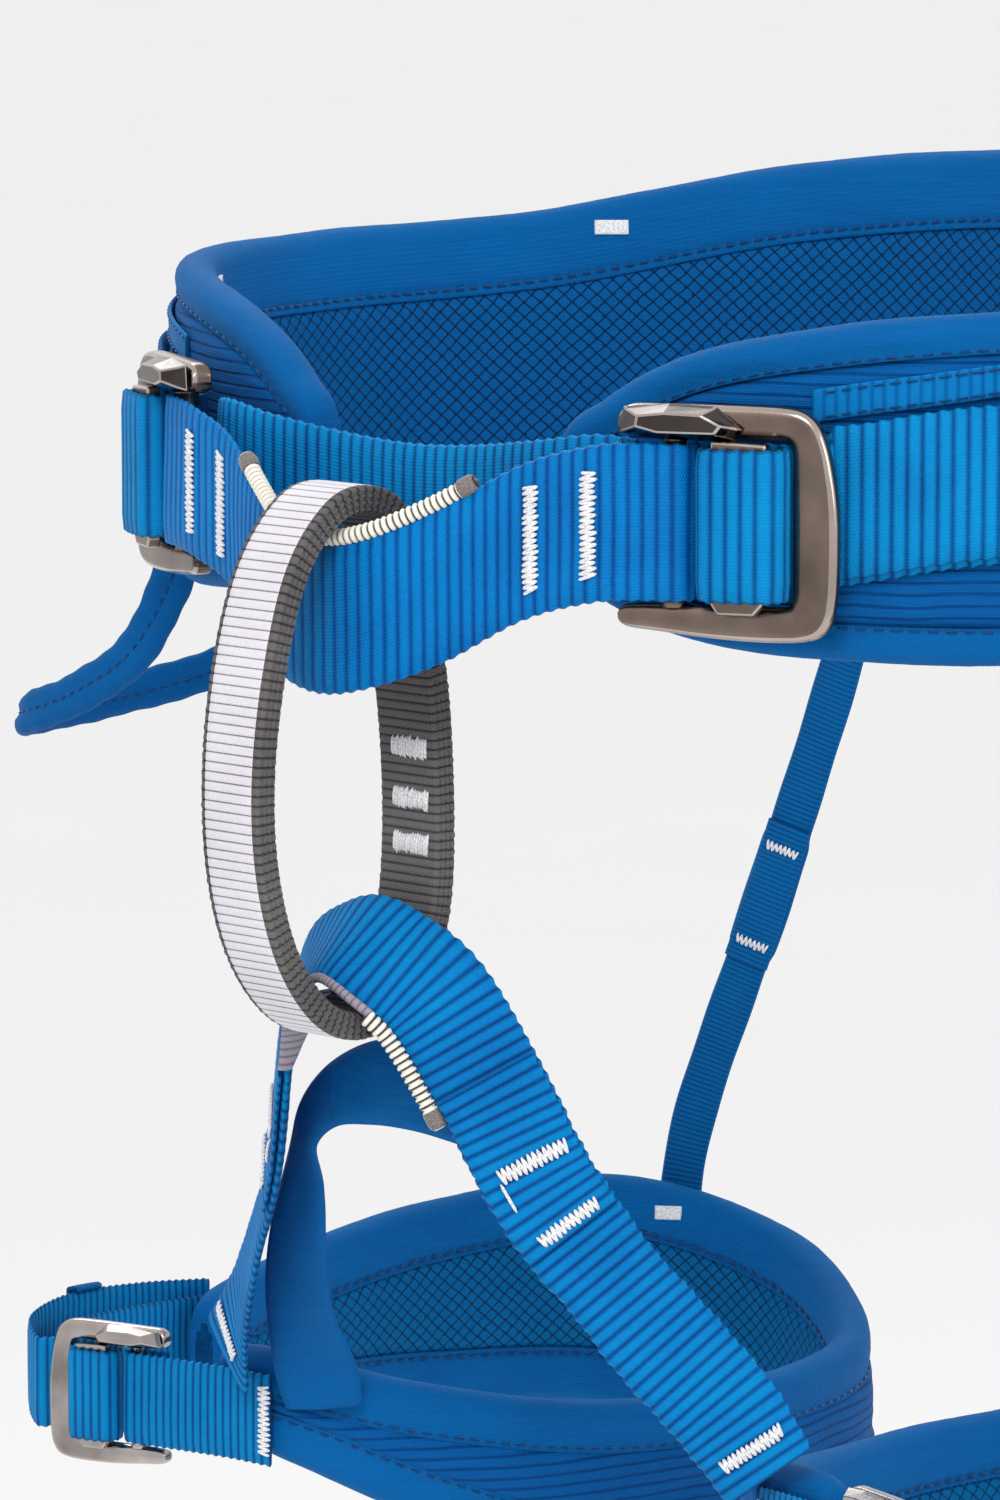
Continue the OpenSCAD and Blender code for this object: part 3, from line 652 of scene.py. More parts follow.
def dress(side, nodes):
    """Hides the CAD pieces that this one replaces."""
    if nodes:
        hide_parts(*[node.format(side) for node in nodes])


def pair(obj, body, nodes=(), blend=None):
    """Fits a piece made for the left side, and its mirror image on the right."""
    name = obj.name
    right = mirrored_copy(obj, f"right_{name}")
    obj.name = f"left_{name}"
    for piece, side in ((obj, "left"), (right, "right")):
        if blend:
            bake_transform(piece)
        else:
            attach(piece, body.format(side))
        dress(side, nodes)


def single(obj, nodes=(), body="waist_belt"):
    """Fits a piece that lies on the wearer's middle plane or goes right round."""
    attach(obj, body)
    dress("", nodes)


# ---------------------------------------------------------------- padded bands
class Pad:
    """A curved padded band: arc length along it, height z and distance d out from its middle."""

    def __init__(self, path, out, corner):
        self.s = np.linspace(0, len(path) - 1, 3000)
        q = curve(path, self.s)
        v = unit(np.gradient(q[:, :2], axis=0))
        self.n = out * np.stack([v[:, 1], -v[:, 0]], 1)
        self.xy, self.low, self.high = q[:, :2], q[:, 2], q[:, 3]
        self.run = run_length(self.xy)
        self.length = self.run[-1]
        self.corner = corner

    def edges(self, a):
        return np.interp(a, self.run, self.low), np.interp(a, self.run, self.high)

    def along(self, a, values):
        return np.stack([np.interp(a, self.run, values[:, c]) for c in (0, 1)], -1)

    def spot(self, a, z, d):
        a, z, d = np.broadcast_arrays(*(np.asarray(q, float) for q in (a, z, d)))
        flat = a.reshape(-1)
        xy = self.along(flat, self.xy) + unit(self.along(flat, self.n)) * d.reshape(-1, 1)
        return np.column_stack([xy, z.reshape(-1)]).reshape(a.shape + (3,))

    def normal(self, a):
        return np.append(unit(self.along(a, self.n)), 0.0)

    def outline(self, step):
        """Closed line round the band in (arc, height), rounded at both ends, and its outward side."""
        r, last = self.corner, self.length - self.corner
        lo, hi = self.edges(np.array([r, last]))
        mid, half = (lo + hi) / 2, (hi - lo) / 2
        a = np.linspace(r, last, 600)
        low, high = self.edges(a)
        t = np.radians(np.linspace(-90, 90, 60)[1:-1])
        end1 = np.column_stack([last + r * np.cos(t), mid[1] + half[1] * np.sin(t)])
        end0 = np.column_stack([r - r * np.cos(t), mid[0] - half[0] * np.sin(t)])
        p = np.vstack([np.column_stack([a, low]), end1, np.column_stack([a[::-1], high[::-1]]), end0])
        closed = np.vstack([p, p[:1]])
        run = run_length(closed)
        n = int(run[-1] / step)
        at = np.arange(n) * run[-1] / n
        q = np.stack([np.interp(at, run, closed[:, c]) for c in (0, 1)], 1)
        for _ in range(3):
            q = softened(q)
        t = unit(np.roll(q, -1, 0) - np.roll(q, 1, 0))
        return q, np.stack([t[:, 1], -t[:, 0]], 1), at, run[-1]

    def reach(self, line, passes):
        """How far a seam may lie in from the outline before it nears the one on the other side."""
        low, high = self.edges(np.clip(line[:, 0], 0, self.length))
        end_near = np.minimum(line[:, 0], self.length - line[:, 0])
        reach = (high - low) / 2 * 0.80
        reach = np.where(end_near < reach, np.maximum(end_near * 0.9, 4.0), reach)
        for _ in range(passes):
            reach = softened(reach)
        return reach


def softened(q):
    """Each value of a closed row moved towards its two neighbours."""
    return (np.roll(q, 1, 0) + 2 * q + np.roll(q, -1, 0)) / 4


def creases(a, z, seed, pitch=6.0, long_pitch=90.0):
    """Deterministic lengthwise creases, between about -1 and 1."""
    rng = np.random.default_rng(seed)
    total = 0.0
    for i in range(6):
        k = 2 * math.pi / (pitch * rng.uniform(0.6, 1.9))
        m = 2 * math.pi / (long_pitch * rng.uniform(0.5, 1.8))
        p, q = rng.uniform(0, 2 * math.pi, 2)
        total = total + np.sin(k * z + 1.6 * np.sin(m * a + p) + q) * (0.6 + 0.4 * np.sin(m * 1.7 * a + q))
    return total / 3.0


def smooth(x):
    x = np.clip(x, 0, 1)
    return x * x * (3 - 2 * x)


def pad_core(name, pad, mats, outer_shape, inner_shape, flap_out, flap_in, rows=34):
    """Closed crowned pad: outer cover and inner lining in one mesh, thin at its rim."""
    a = np.linspace(1.0, pad.length - 1.0, int(pad.length / 2.2))
    low, high = pad.edges(a)
    margin = 1.5
    mid, half = (low + high) / 2, (high - low) / 2 - margin
    near_end = np.clip((pad.corner - np.minimum(a, pad.length - a)) / pad.corner, 0, 1)
    half = half * np.sqrt(np.clip(1 - near_end ** 2, 0.04, 1))
    share = np.sin(np.linspace(-math.pi / 2, math.pi / 2, rows))[None, :]
    z = mid[:, None] + half[:, None] * share
    aa = np.broadcast_to(a[:, None], z.shape)
    from_edge = margin + half[:, None] * (1 - np.abs(share))
    rim = 1 - np.abs(share) ** 8
    faces = []
    for sign, shape, flap, ease in ((1, outer_shape, flap_out, 4.0), (-1, inner_shape, flap_in, 5.0)):
        rise = smooth((from_edge - flap + 1.5) / ease)
        d = PAD_OUT - 2.2 + 1.0 * rim + rise * (1.2 + shape(aa, z, share))
        faces.append(pad.spot(aa, z, sign * d))
    rings = np.concatenate([faces[0], faces[1][:, ::-1]], axis=1)
    v = np.concatenate([z, z[:, ::-1] + 200.0], axis=1)
    return loft(name, rings, a, v, mats, face_mat=lambda i, j: (j >= rows - 1).astype(int))


def binding(name, pad, rim_r, flap_out, flap_in, seed):
    """Rolled edge binding: hooked over the rim all the way round, with its puckered stitch line."""
    line, side, run, total = pad.outline(1.8)
    reach = pad.reach(line, 12)
    fin = np.minimum(flap_in, reach)[:, None]
    fout = np.minimum(flap_out, reach)[:, None]
    rng = np.random.default_rng(seed)
    phase = 2 * math.pi * run / total

    def swell(*lengths):
        waves = [np.sin(round(total / p) * phase + rng.uniform(0, 6.28)) for p in lengths]
        return (sum(waves) / len(lengths))[:, None]
    pucker = swell(3.5, 5.2, 7.9, 12.4)
    roll = swell(34.0, 61.0, 118.0)
    theta = np.radians(np.linspace(0, 180, 11))[None, :]
    r = rim_r * (1 + 0.05 * roll + 0.012 * pucker)
    e_roll, d_roll = 0.92 * r * np.sin(theta), r * np.cos(theta)
    k_out = np.array([1.0, 0.93, 0.84, 0.6, 0.3])
    d_out = PAD_OUT + np.array([0.10, 0.32, 0.02, 0.25, 0.45])
    k_in = np.array([0.25, 0.5, 0.72, 0.82, 0.88, 0.94, 1.0])
    d_in = PAD_OUT + np.array([0.6, 0.55, 0.3, -0.05, -0.2, 0.35, 0.15])
    d_in = d_in + pucker * np.array([0.05, 0.12, 0.25, 0.35, 0.3, 0.3, 0.2]) + 0.35 * roll * (k_in < 0.7)

    def layer(e_rim, d):
        e = np.concatenate([-fout * k_out, e_rim, -fin * k_in], axis=1)
        return pad.spot(line[:, :1] + side[:, :1] * e, line[:, 1:] + side[:, 1:] * e, np.concatenate(d, axis=1))
    outer = layer(e_roll, [d_out + 0.12 * pucker, d_roll, -d_in])
    inner = layer(0.55 * e_roll, [d_out - 1.0 + 0 * pucker, 0.6 * d_roll, -(d_in - 1.0)])
    rings = np.concatenate([outer, inner[:, ::-1]], axis=1)
    v = np.linspace(0, 2.2 * (flap_in + flap_out + 14), rings.shape[1])
    return loft(name, rings, run, v, MAT["binding"], loop=True)


def rim_stitches(name, pad, inset, share, face, radius=0.28):
    """Row of separate stitches along the binding's seam, on the outer (1) or inner (-1) face."""
    line, side, _, _ = pad.outline(1.0)
    e = -np.minimum(inset, pad.reach(line, 30)) * share
    seam = line + side * e[:, None]
    seam = np.vstack([seam, seam[:1]])
    length = run_length(seam)
    out = []
    for i in range(int(length[-1] / SEAM_PITCH)):
        at = np.array([i * SEAM_PITCH, i * SEAM_PITCH + SEAM_DASH])
        a, z = np.interp(at, length, seam[:, 0]), np.interp(at, length, seam[:, 1])
        p = pad.spot(a, z, np.full(2, face * (PAD_OUT + SEAM_LIFT)))
        out.append((p[0], p[1], pad.normal(a[0]) * face))
    return stitches(name, out, radius, "blue_thread")


# ---------------------------------------------------------------- waist belt
PAD_POINTS = [[*belt(u, 0.0), low, high] for u, low, high in curve(EDGES, np.linspace(0, len(EDGES) - 1, 73))]
WAIST_PAD = Pad(PAD_POINTS, 1.0, 9.0)
WEB_START = WAIST_PAD.run[np.argmin(np.linalg.norm(WAIST_PAD.xy - belt(36.0, 0.0), axis=1))]


def web_mid_z(a):
    """Middle height of the load webbing beside arc position a of the belt."""
    q = curve(WEB_MID, np.linspace(0, len(WEB_MID) - 1, 600))
    run = run_length(belt(q[:, 0], np.zeros(len(q))))
    run = run * (WAIST_PAD.length - 2 * WEB_START) / run[-1] + WEB_START
    return np.interp(a, run, q[:, 1])


def waist_pad():
    def outer(a, z, share):
        under = 1 / (1 + np.exp((np.abs(z - (web_mid_z(a) - 1.5)) - 17.0) / 1.6))
        puff = 1.3 * (1 - under) * np.clip(1 - share ** 4, 0, 1)
        fold = 0.55 * creases(a, z, 3, pitch=5.0) * (1 - under)
        front = np.exp(-np.minimum(a, WAIST_PAD.length - a) / 120.0)
        return puff + fold * (0.5 + 0.9 * front) - 0.15 * under

    def inner(a, z, share):
        crown = 0.9 * np.clip(1 - share ** 4, 0, 1)
        return crown + 0.25 * creases(a, z, 5, pitch=16.0, long_pitch=60.0)
    obj = pad_core("waist_pad", WAIST_PAD, [MAT["shell"], MAT["lining"]], outer, inner, 3.5, 12.6, rows=44)
    single(obj, ["waist_foam", "waist_shell", "waist_lining"])


def waist_binding():
    single(binding("waist_rolled_binding", WAIST_PAD, 4.6, 3.6, 13.0, 11), ["waist_binding"])
    single(rim_stitches("waist_binding_seam", WAIST_PAD, 13.0, 0.86, -1, radius=0.34))
    single(rim_stitches("waist_binding_seam_outer", WAIST_PAD, 3.6, 0.80, 1))


def front_wings():
    """Ribbed stretch panel inside each front tip, from the binding to where the mesh begins."""
    start, end, pitch = 7.0, 46.0, 2.0
    a = np.linspace(start, end, 150)
    low, high = WAIST_PAD.edges(a)
    share = np.linspace(0, 1, 17)
    slant = (a[:, None] - start) / (end - start)
    lo = low[:, None] + np.minimum(4.0 + 8.0 * slant, 11.0)
    hi = high[:, None] - np.minimum(4.0 + 8.0 * slant, 12.0)
    aa = a[:, None] + 16.0 * (1 - share) ** 1.4 * slant
    z = lo + (hi - lo) * share
    rib = 0.22 * np.abs(np.sin(math.pi * (aa / pitch))) ** 0.7
    edge = np.clip(np.minimum(a - a[0], a[-1] - a) / 1.5, 0, 1)[:, None]
    side = np.clip(np.minimum(share, 1 - share) / 0.06, 0, 1)
    d = -(PAD_OUT + 0.55 + (0.55 + rib) * edge ** 0.5 * side ** 0.5)
    back = np.full_like(d, -(PAD_OUT - 0.6))
    rings = np.concatenate([WAIST_PAD.spot(aa, z, d), WAIST_PAD.spot(aa, z, back)[:, ::-1]], axis=1)
    v = np.concatenate([z, z[:, ::-1] + 100], axis=1)
    pair(loft("wing_panel", rings, a, v, MAT["wing"]), "waist_belt")


def waist_straps():
    core = web_path(PAD_OUT + GAP + WEB_T / 2, WEB_W, 1.5)
    obj = ribbed("belt_webbing", core, wall_at(core), 9, 51, MAT["web"], WEB_T)
    single(obj, ["waist_webbing"])
    # load end: from under the slider, beneath the wide bar, to the belt
    lead_mid = WAIST_BUCKLE_Z - 1.0
    lead = [at_waist((2.5, 5), WEB_W), at_waist((8, 6.6), WEB_W), at_waist((15, 7.6), WEB_W, lead_mid)]
    lead += [tuple(q) for q in core[3:10]]
    obj = strap("belt_lead", lead, "web", WEB_T * 0.96)
    start = buckle_spot((33, 9), WAIST_BUCKLE)
    end = buckle_spot((16, 6), WAIST_BUCKLE)
    blend = ("{}_waist_buckle", (*start, 0.0), (*end, 0.0))
    pair(obj, "waist_belt", blend=blend)
    # adjustable end, on top of it
    tail = web_path(PAD_OUT + GAP + WEB_T + GAP + WEB_T / 2, WEB_W)
    route = [at_waist((12, 2), WEB_W), at_waist((14.5, 3.9), WEB_W), at_waist((19, 4.8), WEB_W)]
    route += [tuple(q) for q in tail[4:16]]
    obj = strap("belt_tail", route, "web", WEB_T, seed=2.0, wave=0.16)
    pair(obj, "waist_belt", ["{}_waist_tail"], blend=blend)


def strap_turns():
    for part, buckle, mat, width, thick, weave in (
            ("waist", WAIST_BUCKLE, "web", WEB_W, WEB_T, {"amp": 0.22, "wave": 0.05}),
            ("leg", LEG_BUCKLE, "leg_web", LEG_WEB_W, LEG_WEB_T, {"pitch": 2.0, "amp": 0.16, "wave": 0.04})):
        level = buckle[0][2]
        path = [(*buckle_spot(q, buckle), level) for q in TURN]
        frame_at = ribbon_at(path, [(0, 0, 1)] * len(path), width)
        obj = ribbed(f"{part}_turn", path, frame_at, 0, len(path) - 1, MAT[mat], thick, **weave)
        ends = [(*buckle_spot(q, buckle), level) for q in ((0, -3), (0, 4))]
        pair(obj, "{}_%s_slider" % part, ["{}_%s_strap_turn" % part], blend=("{}_%s_buckle" % part, *ends))


def keeper(name, path, out_lo, out_hi, a, b):
    """Elastic band folded round a strap: over its face and its two edges."""
    count, thick = 26, 1.1
    s = np.linspace(a, b, count)
    mid, across, normal, width = wall_frames(path, s)
    half = (1.0, 0.0), (1.03, 0.35), (1.0, 0.85), (0.95, 1.0), (0.5, 1.03)
    outer = [(x, d, 0.0) for x, d in (*half, (0.0, 1.04), *[(-x, d) for x, d in reversed(half)])]
    inner = [(x, d, thick) for x, d, _ in reversed(outer)]
    ribs = 0.10 * np.sin(np.linspace(0, 2 * math.pi * 6, count))
    rings = []
    for x, d, inset in outer + inner:
        h = out_lo + d * (out_hi - out_lo) + (ribs if inset == 0 else 0 * ribs)
        h = h - inset * (0.9 if abs(x) < 0.97 else 0.0)
        w = width / 2 * x - math.copysign(inset, x) * (0.9 if abs(x) >= 0.94 else 0.0)
        rings.append(mid + across * w[:, None] + normal * h[:, None])
    u = (s - s[0]) / (s[-1] - s[0]) * 11.0
    return loft(name, np.stack(rings, 1), u, np.linspace(0, 90, len(rings)), MAT["elastic"])


def waist_keepers():
    obj = keeper("tail_keeper_band", web_path(0, WEB_W + 4), PAD_OUT + 0.7, 9.9, 13.0, 14.4)
    pair(obj, "waist_belt", ["{}_tail_keeper"])


def waist_tape():
    """Narrow sewn tape on the outer cover, above the webbing."""
    q = curve(EDGES, np.linspace(3.1, len(EDGES) - 4.1, 61))
    xy = belt(q[:, 0], np.full(len(q), PAD_OUT + 1.55))
    centre = np.interp(q[:, 0], [p[0] for p in WEB_MID], [p[1] for p in WEB_MID])
    low = centre + 16.4
    path = np.column_stack([xy, low, np.minimum(low + 6.5, q[:, 2] - 5.5)])
    obj = strap("outer_tape", path, "tape", 0.9, pitch=2.4, amp=0.05, edge=0.3)
    single(obj)
    s = rib_stations(path, 0.5, len(path) - 1.5, 3.2)[0][::RIB_STEPS]
    near, far = wall_frames(path, s), wall_frames(path, s + (s[1] - s[0]) * 0.62)
    segments = []
    for row in (-0.36, 0.36):
        ends = [mid + across * (width * row)[:, None] + normal * 0.55
                for mid, across, normal, width in (near, far)]
        segments += list(zip(*ends, near[2]))
    single(stitches("outer_tape_seams", segments, 0.24, "blue_thread"))


def tab(name, shape, xy, depth, half_long=4.0):
    """Small stitched tab lying over the inside of the rolled edge nearest to xy."""
    i = int(np.argmin(np.linalg.norm(shape.xy - xy, axis=1)))
    a0 = shape.run[i]
    a = np.linspace(-half_long, half_long, 17) + a0
    z = shape.high[i] + np.linspace(-3.6, -0.4, 7)
    aa, zz = np.meshgrid(a, z, indexing="ij")
    edge = np.clip((half_long - np.abs(aa - a0)) / 0.6, 0, 1)
    thread = 0.04 * np.sin((aa - a0) * 2 * math.pi / 1.0)
    face = shape.spot(aa, zz, -(depth + 0.3 * edge + thread * edge))
    back = shape.spot(aa, zz, np.full(aa.shape, 0.75 - depth))
    rings = np.concatenate([face, back[:, ::-1]], axis=1)
    return loft(name, rings, a, np.linspace(0, 9, 14), MAT["white"])


def waist_tags():
    parts = [tab("tab", WAIST_PAD, belt(u, 0.0), 4.95) for u in (58, 128, 232, 302)]
    single(join("waist_tab_stitches", parts), ["waist_tags"])


# ---------------------------------------------------------------- tie-in straps
def tie_in():
    obj = strap("tie_in_front_strap", TIE_FRONT, "tie", WEB_T,
                 amp=0.26, wave=0.28, seed=1.0)
    single(obj, ["tie_in_front"])
    obj = strap("tie_in_rear_strap", TIE_REAR, "web", WEB_T,
                 amp=0.26, wave=0.2, seed=4.0)
    single(obj, ["tie_in_rear"])
    threads = []
    for m in (-1, 1):
        for s in (3.15, 4.0):
            threads += tack(wall_at(TIE_FRONT), TIE_MID + m * s, 21.0, 3.6, WEB_T / 2 + 0.22, int(10 * s + m))
    single(stitches("tie_in_bartack_threads", threads, 0.40), ["tie_in_bartacks"])
    obj = piping("tie_in_wear_piping", tie_piping_line, TIE_MID - 2.45, TIE_MID + 2.45)
    single(obj, ["tie_in_piping"])


def tie_piping_line(s):
    mid, across, normal, width = wall_frames(TIE_FRONT, s)
    return mid + across * (width / 2 + GAP + PIPE_R - 0.55)[:, None], normal


def piping(name, line, a, b, pitch=1.45, tab_ends=(0, 1)):
    """Round edge cord wound with thick thread, and a plain sewn tab over its ends."""
    s = np.linspace(a, b, 1200)
    run = run_length(line(s)[0])
    per, k = 6, 12
    count = int(run[-1] / pitch) * per
    p, n = line(np.interp(np.linspace(0, run[-1], count + 1), run, s))
    radius = PIPE_R * np.array([0.74, 0.98, 1.06, 1.06, 0.98, 0.80])[np.arange(count + 1) % per]
    v = np.arange(k) * 0.9
    parts = [loft(name, tube_rings(p, n, radius, k), np.arange(count + 1) * pitch / per, v, MAT["cord"])]
    for end in tab_ends:
        first = end * (count - 3 * per)
        q, m = p[first:first + 3 * per + 1], n[first:first + 3 * per + 1]
        size = PIPE_R * 1.18 * (1 - 0.5 * np.abs(np.linspace(-1, 1, len(q))) ** 6)
        parts.append(loft(name + "_tab", tube_rings(q, m, size, k), np.arange(len(q)) * 0.25, v, MAT["tab"]))
    return join(name, parts)


# ---------------------------------------------------------------- belay loop
def belay_profile():
    """Cross-section of the layered ring: white outer face, dark layered edges, dark inner face."""
    half, t = RING_W / 2, RING_T / 2
    face = [(x * half, t, 0) for x in np.linspace(-0.80, 0.80, 9)]
    edge = [(0.84, 0.90), (0.93, 0.96), (0.99, 0.72), (0.93, 0.50), (1.0, 0.26), (0.93, 0.02), (1.0, -0.24),
            (0.93, -0.48), (0.99, -0.74), (0.90, -0.97)]
    right = [(x * half, y * t, 1) for x, y in edge]
    back = [(x * half, -t, 1) for x in np.linspace(0.8, -0.8, 9)]
    left = [(-x * half, y * t, 1) for x, y in reversed(edge)]
    return np.array(face + right + back + left)


def belay_loop():
    sec = belay_profile()
    across_pts = [(1, 0, 0)] * len(RING)
    pitch, amp = 1.9, 0.16
    s, u = rib_stations(RING, 0, len(RING), pitch, loop=True)
    frames = ribbon_frames(RING, across_pts, s, RING_W, loop=True)
    rib = np.abs(np.sin(math.pi * u / pitch)) ** 0.5 - 0.6
    rough = 0.16 * np.sin(u * 2.9)[:, None] * np.sin(u[:, None] * 0.83 + sec[None, :, 1] * 3)
    x, h, dark = sec.T
    x = x * (1 + 0.012 * np.sin(u / 9.0)[:, None]) + np.sign(x) * dark * rough * (np.abs(x) > 7)
    h = h + np.sign(h) * amp * rib[:, None] * (np.abs(h) > 2.3)
    rings = ring_grid(frames, x, h)
    ids = sec[:, 2].astype(int)
    obj = loft("belay_loop_layers", rings, u, np.cumsum(np.r_[0, np.hypot(*np.diff(sec[:, :2], axis=0).T)]),
               [MAT["belay_white"], MAT["belay_grey"]], loop=True,
               face_mat=lambda i, j: np.maximum(ids[j], ids[(j + 1) % len(ids)]))
    single(obj, ["belay_loop"], body="belay_loop")
    parts = []
    for k, s0 in enumerate((11.78, 12.15, 12.52)):
        m, ac, nm, _ = ribbon_frames(RING, across_pts, np.array([s0 - 0.01, s0, s0 + 0.01]), 1.0, loop=True)
        along = unit(m[2] - m[0])
        rng = np.random.default_rng(40 + k)
        for x in np.arange(-3.9, 5.6, 0.72):
            y0, y1 = -2.1 + rng.uniform(-0.4, 0.4), 2.1 + rng.uniform(-0.4, 0.4)
            a = m[1] + ac[1] * (x + rng.uniform(-0.1, 0.1)) + along * y0 - nm[1] * (RING_T / 2 + 0.18)
            b = m[1] + ac[1] * (x + 0.35) + along * y1 - nm[1] * (RING_T / 2 + 0.18)
            parts.append((a, b, -nm[1]))
    obj = stitches("belay_bartack_threads", parts, 0.36)
    single(obj, ["belay_bartacks"], body="belay_loop")


# ---------------------------------------------------------------- leg bridge and risers
HINGE_NEAR, HINGE_FAR, CUT = 3.6, 4.6, 3.3


def bridge_point(s):
    return tuple(curve(CREST, s)[0])


def leg_bridge():
    obj = ribbed("bridge_crest", BRIDGE, ribbon_at(BRIDGE, BRIDGE_ACROSS, RISER_W - 1.4),
                 CREST_I - CUT, CREST_I + CUT, MAT["riser"], WEB_T, pitch=2.6, amp=0.26, wave=0.22,
                 seed=0.6, shift=-0.7)
    single(obj, ["leg_bridge"])
    obj = soft_band("bridge_inner_band", INNER_BAND, INNER_ACROSS, INNER_WIDTH, MID_I - 1.9, MID_I + 1.9)
    single(obj, ["leg_bridge_rear"])
    obj = soft_band("riser_inner_band", INNER_BAND, INNER_ACROSS, INNER_WIDTH, MID_I + 1.9, len(INNER_BAND) - 1)
    blend = ("{}_leg", tuple(INNER_BAND[MID_I + 2]), tuple(INNER_BAND[MID_I + 5]))
    pair(obj, "waist_belt", ["{}_riser_backing"], blend=blend)
    obj = piping("bridge_wear_piping", bridge_piping_line, CREST_I + 1.42, CREST_I + 3.1, 1.5, tab_ends=(1,))
    single(obj, ["leg_bridge_piping"])


INNER_BAND = both_ways([(0, -99, -125), (12, -99, -126.5), (24, -98.5, -131), (35, -94.6, -139.5),
                        (41.8, -88.5, -151.5), (49.5, -83, -166), (57.5, -75.5, -182),
                        (62, -66.8, -198.5), (62.5, -63.8, -208)])
INNER_ACROSS = both_ways([(0, 0.2, 1), (0.18, 0.2, 1), (0.36, 0.2, 1), (0.6, 0.2, 0.8), (0.88, 0.12, 0.42),
                          (0.97, 0.05, 0.25), (0.95, -0.15, 0.2), (0.85, -0.5, 0.1), (0.83, -0.55, 0.05)])
INNER_WIDTH = both_ways([(0, 18.5), (12, 17), (24, 13), (35, 11.5), (42, 14.5), (50, 17.5), (57, 18.5),
                         (62, 19), (63, 17)])
MID_I = 8


def soft_band(name, path, across_pts, widths, a, b):
    """Smooth padded band of varying width, with rounded edges and a few long creases."""
    s, u = even(path, a, b, 1.2)
    width = curve(widths, s)[:, 1]
    k = 11
    x = np.linspace(-1, 1, k)
    x = np.concatenate([x, x[::-1]])
    side = np.concatenate([np.ones(k), -np.ones(k)])
    dome = np.sqrt(np.clip(1 - np.abs(x) ** 4, 0.02, 1))
    crease = 0.22 * creases(u[:, None], x[None, :] * 9, 31, pitch=7.0, long_pitch=40.0)
    h = side * 1.15 * dome + crease * dome
    rings = ring_grid(ribbon_frames(path, across_pts, s, 1.0), x * width[:, None] / 2, h)
    return loft(name, rings, u, (x + np.where(side < 0, 3.0, 0.0)) * 10, MAT["binding"])


def bridge_piping_line(s):
    mid, across, normal, _ = ribbon_frames(BRIDGE, BRIDGE_ACROSS, s, RISER_W)
    return mid - across * (RISER_W / 2 + PIPE_R + GAP - 0.5), normal


def risers():
    path, across = CREST, CREST_ACROSS
    end = len(CREST) - 1

    def narrow(k):
        pinch = np.exp(-((k - 0.44) / 0.10) ** 2)
        return 1 - 0.07 * pinch + 0.012 * np.sin(k * 60)
    obj = ribbed("riser_strap", path, ribbon_at(path, across, RISER_W - 1.4), CUT, end, MAT["riser"], WEB_T,
                 pitch=2.6, amp=0.26, wave=0.2, seed=3.0, narrow=narrow, shift=-0.7)
    blend = ("{}_leg", bridge_point(HINGE_NEAR), bridge_point(HINGE_FAR))
    pair(obj, "waist_belt", ["{}_riser"], blend=blend)
    # short doubled end of the bridge webbing, sewn down over the riser
    obj = ribbed("riser_overlap", path, ribbon_at(path, across, RISER_W - 2.0, 1.55),
                 2.9, 4.3, MAT["riser"], 1.3, pitch=2.6, amp=0.2, wave=0.15, seed=5.0, shift=-0.7)
    pair(obj, "waist_belt", blend=blend)
    frame_at = ribbon_at(path, across, 1.0)
    threads = tack(frame_at, 3.68, 15.0, 3.4, 2.5, 21, shift=0.5)
    mid, side, normal, _ = frame_at(np.array([3.72, 3.95]))
    threads.append((*(mid + side * -7.5 + normal * 2.5), normal[0]))
    threads += tack(frame_at, 4.215, 14.0, 3.0, 2.5, 22) + tack(frame_at, 6.57, 15.0, 3.0, 1.55, 23)
    obj = stitches("riser_bartack_threads", threads, 0.38)
    pair(obj, "waist_belt", ["{}_leg_bartacks"], blend=blend)


def wear_sleeve():
    """Grey woven wedge under the ring on the bridge's far edge, narrowing to a point."""
    s = CREST_I - np.linspace(1.25, 2.75, 70)
    mid, _ = bridge_piping_line(s)
    k = np.linspace(0, 1, 70)
    u = k * 22.0
    mid = mid + np.array([-1.2, 0.0, 0.0])
    width = 13.0 * (1 - k) ** 0.9 + 3.2
    q = np.array([0.0, 1.0, 0.05])
    n = np.array([1.0, 0.0, 0.0])
    ring = []
    for t in np.arange(20) * 2 * math.pi / 20:
        w = width * (0.5 + 0.5 * math.cos(t))
        thick = (1.3 + 0.35 * (1 - k)) * math.sin(t) * (1 + 0.08 * np.abs(np.sin(math.pi * u / 1.3)))
        ring.append(mid + q * (w - 1.6)[:, None] + n * thick[:, None])
    obj = loft("bridge_wear_sleeve", np.stack(ring, 1), u, np.linspace(0, 30, 20), MAT["sleeve"])
    single(obj)
    s = CREST_I + np.linspace(-1.3, 1.48, 60)
    mid, normal = bridge_piping_line(s)
    run = np.linspace(0, 34, 60)
    mid = mid + ribbon_frames(BRIDGE, BRIDGE_ACROSS, s, 1.0)[1] * (1.85 - 0.95)
    radius = 0.95 + 0.08 * np.abs(np.sin(run * 2.2))
    rings = tube_rings(mid, normal, radius, 14)
    obj = loft("bridge_wear_roll", rings, run, np.arange(14) * 0.9, MAT["sleeve"])
    single(obj)


# ---------------------------------------------------------------- leg loops
LEG_SHAPE = Pad(LEG_PAD, -1.0, 7.0)


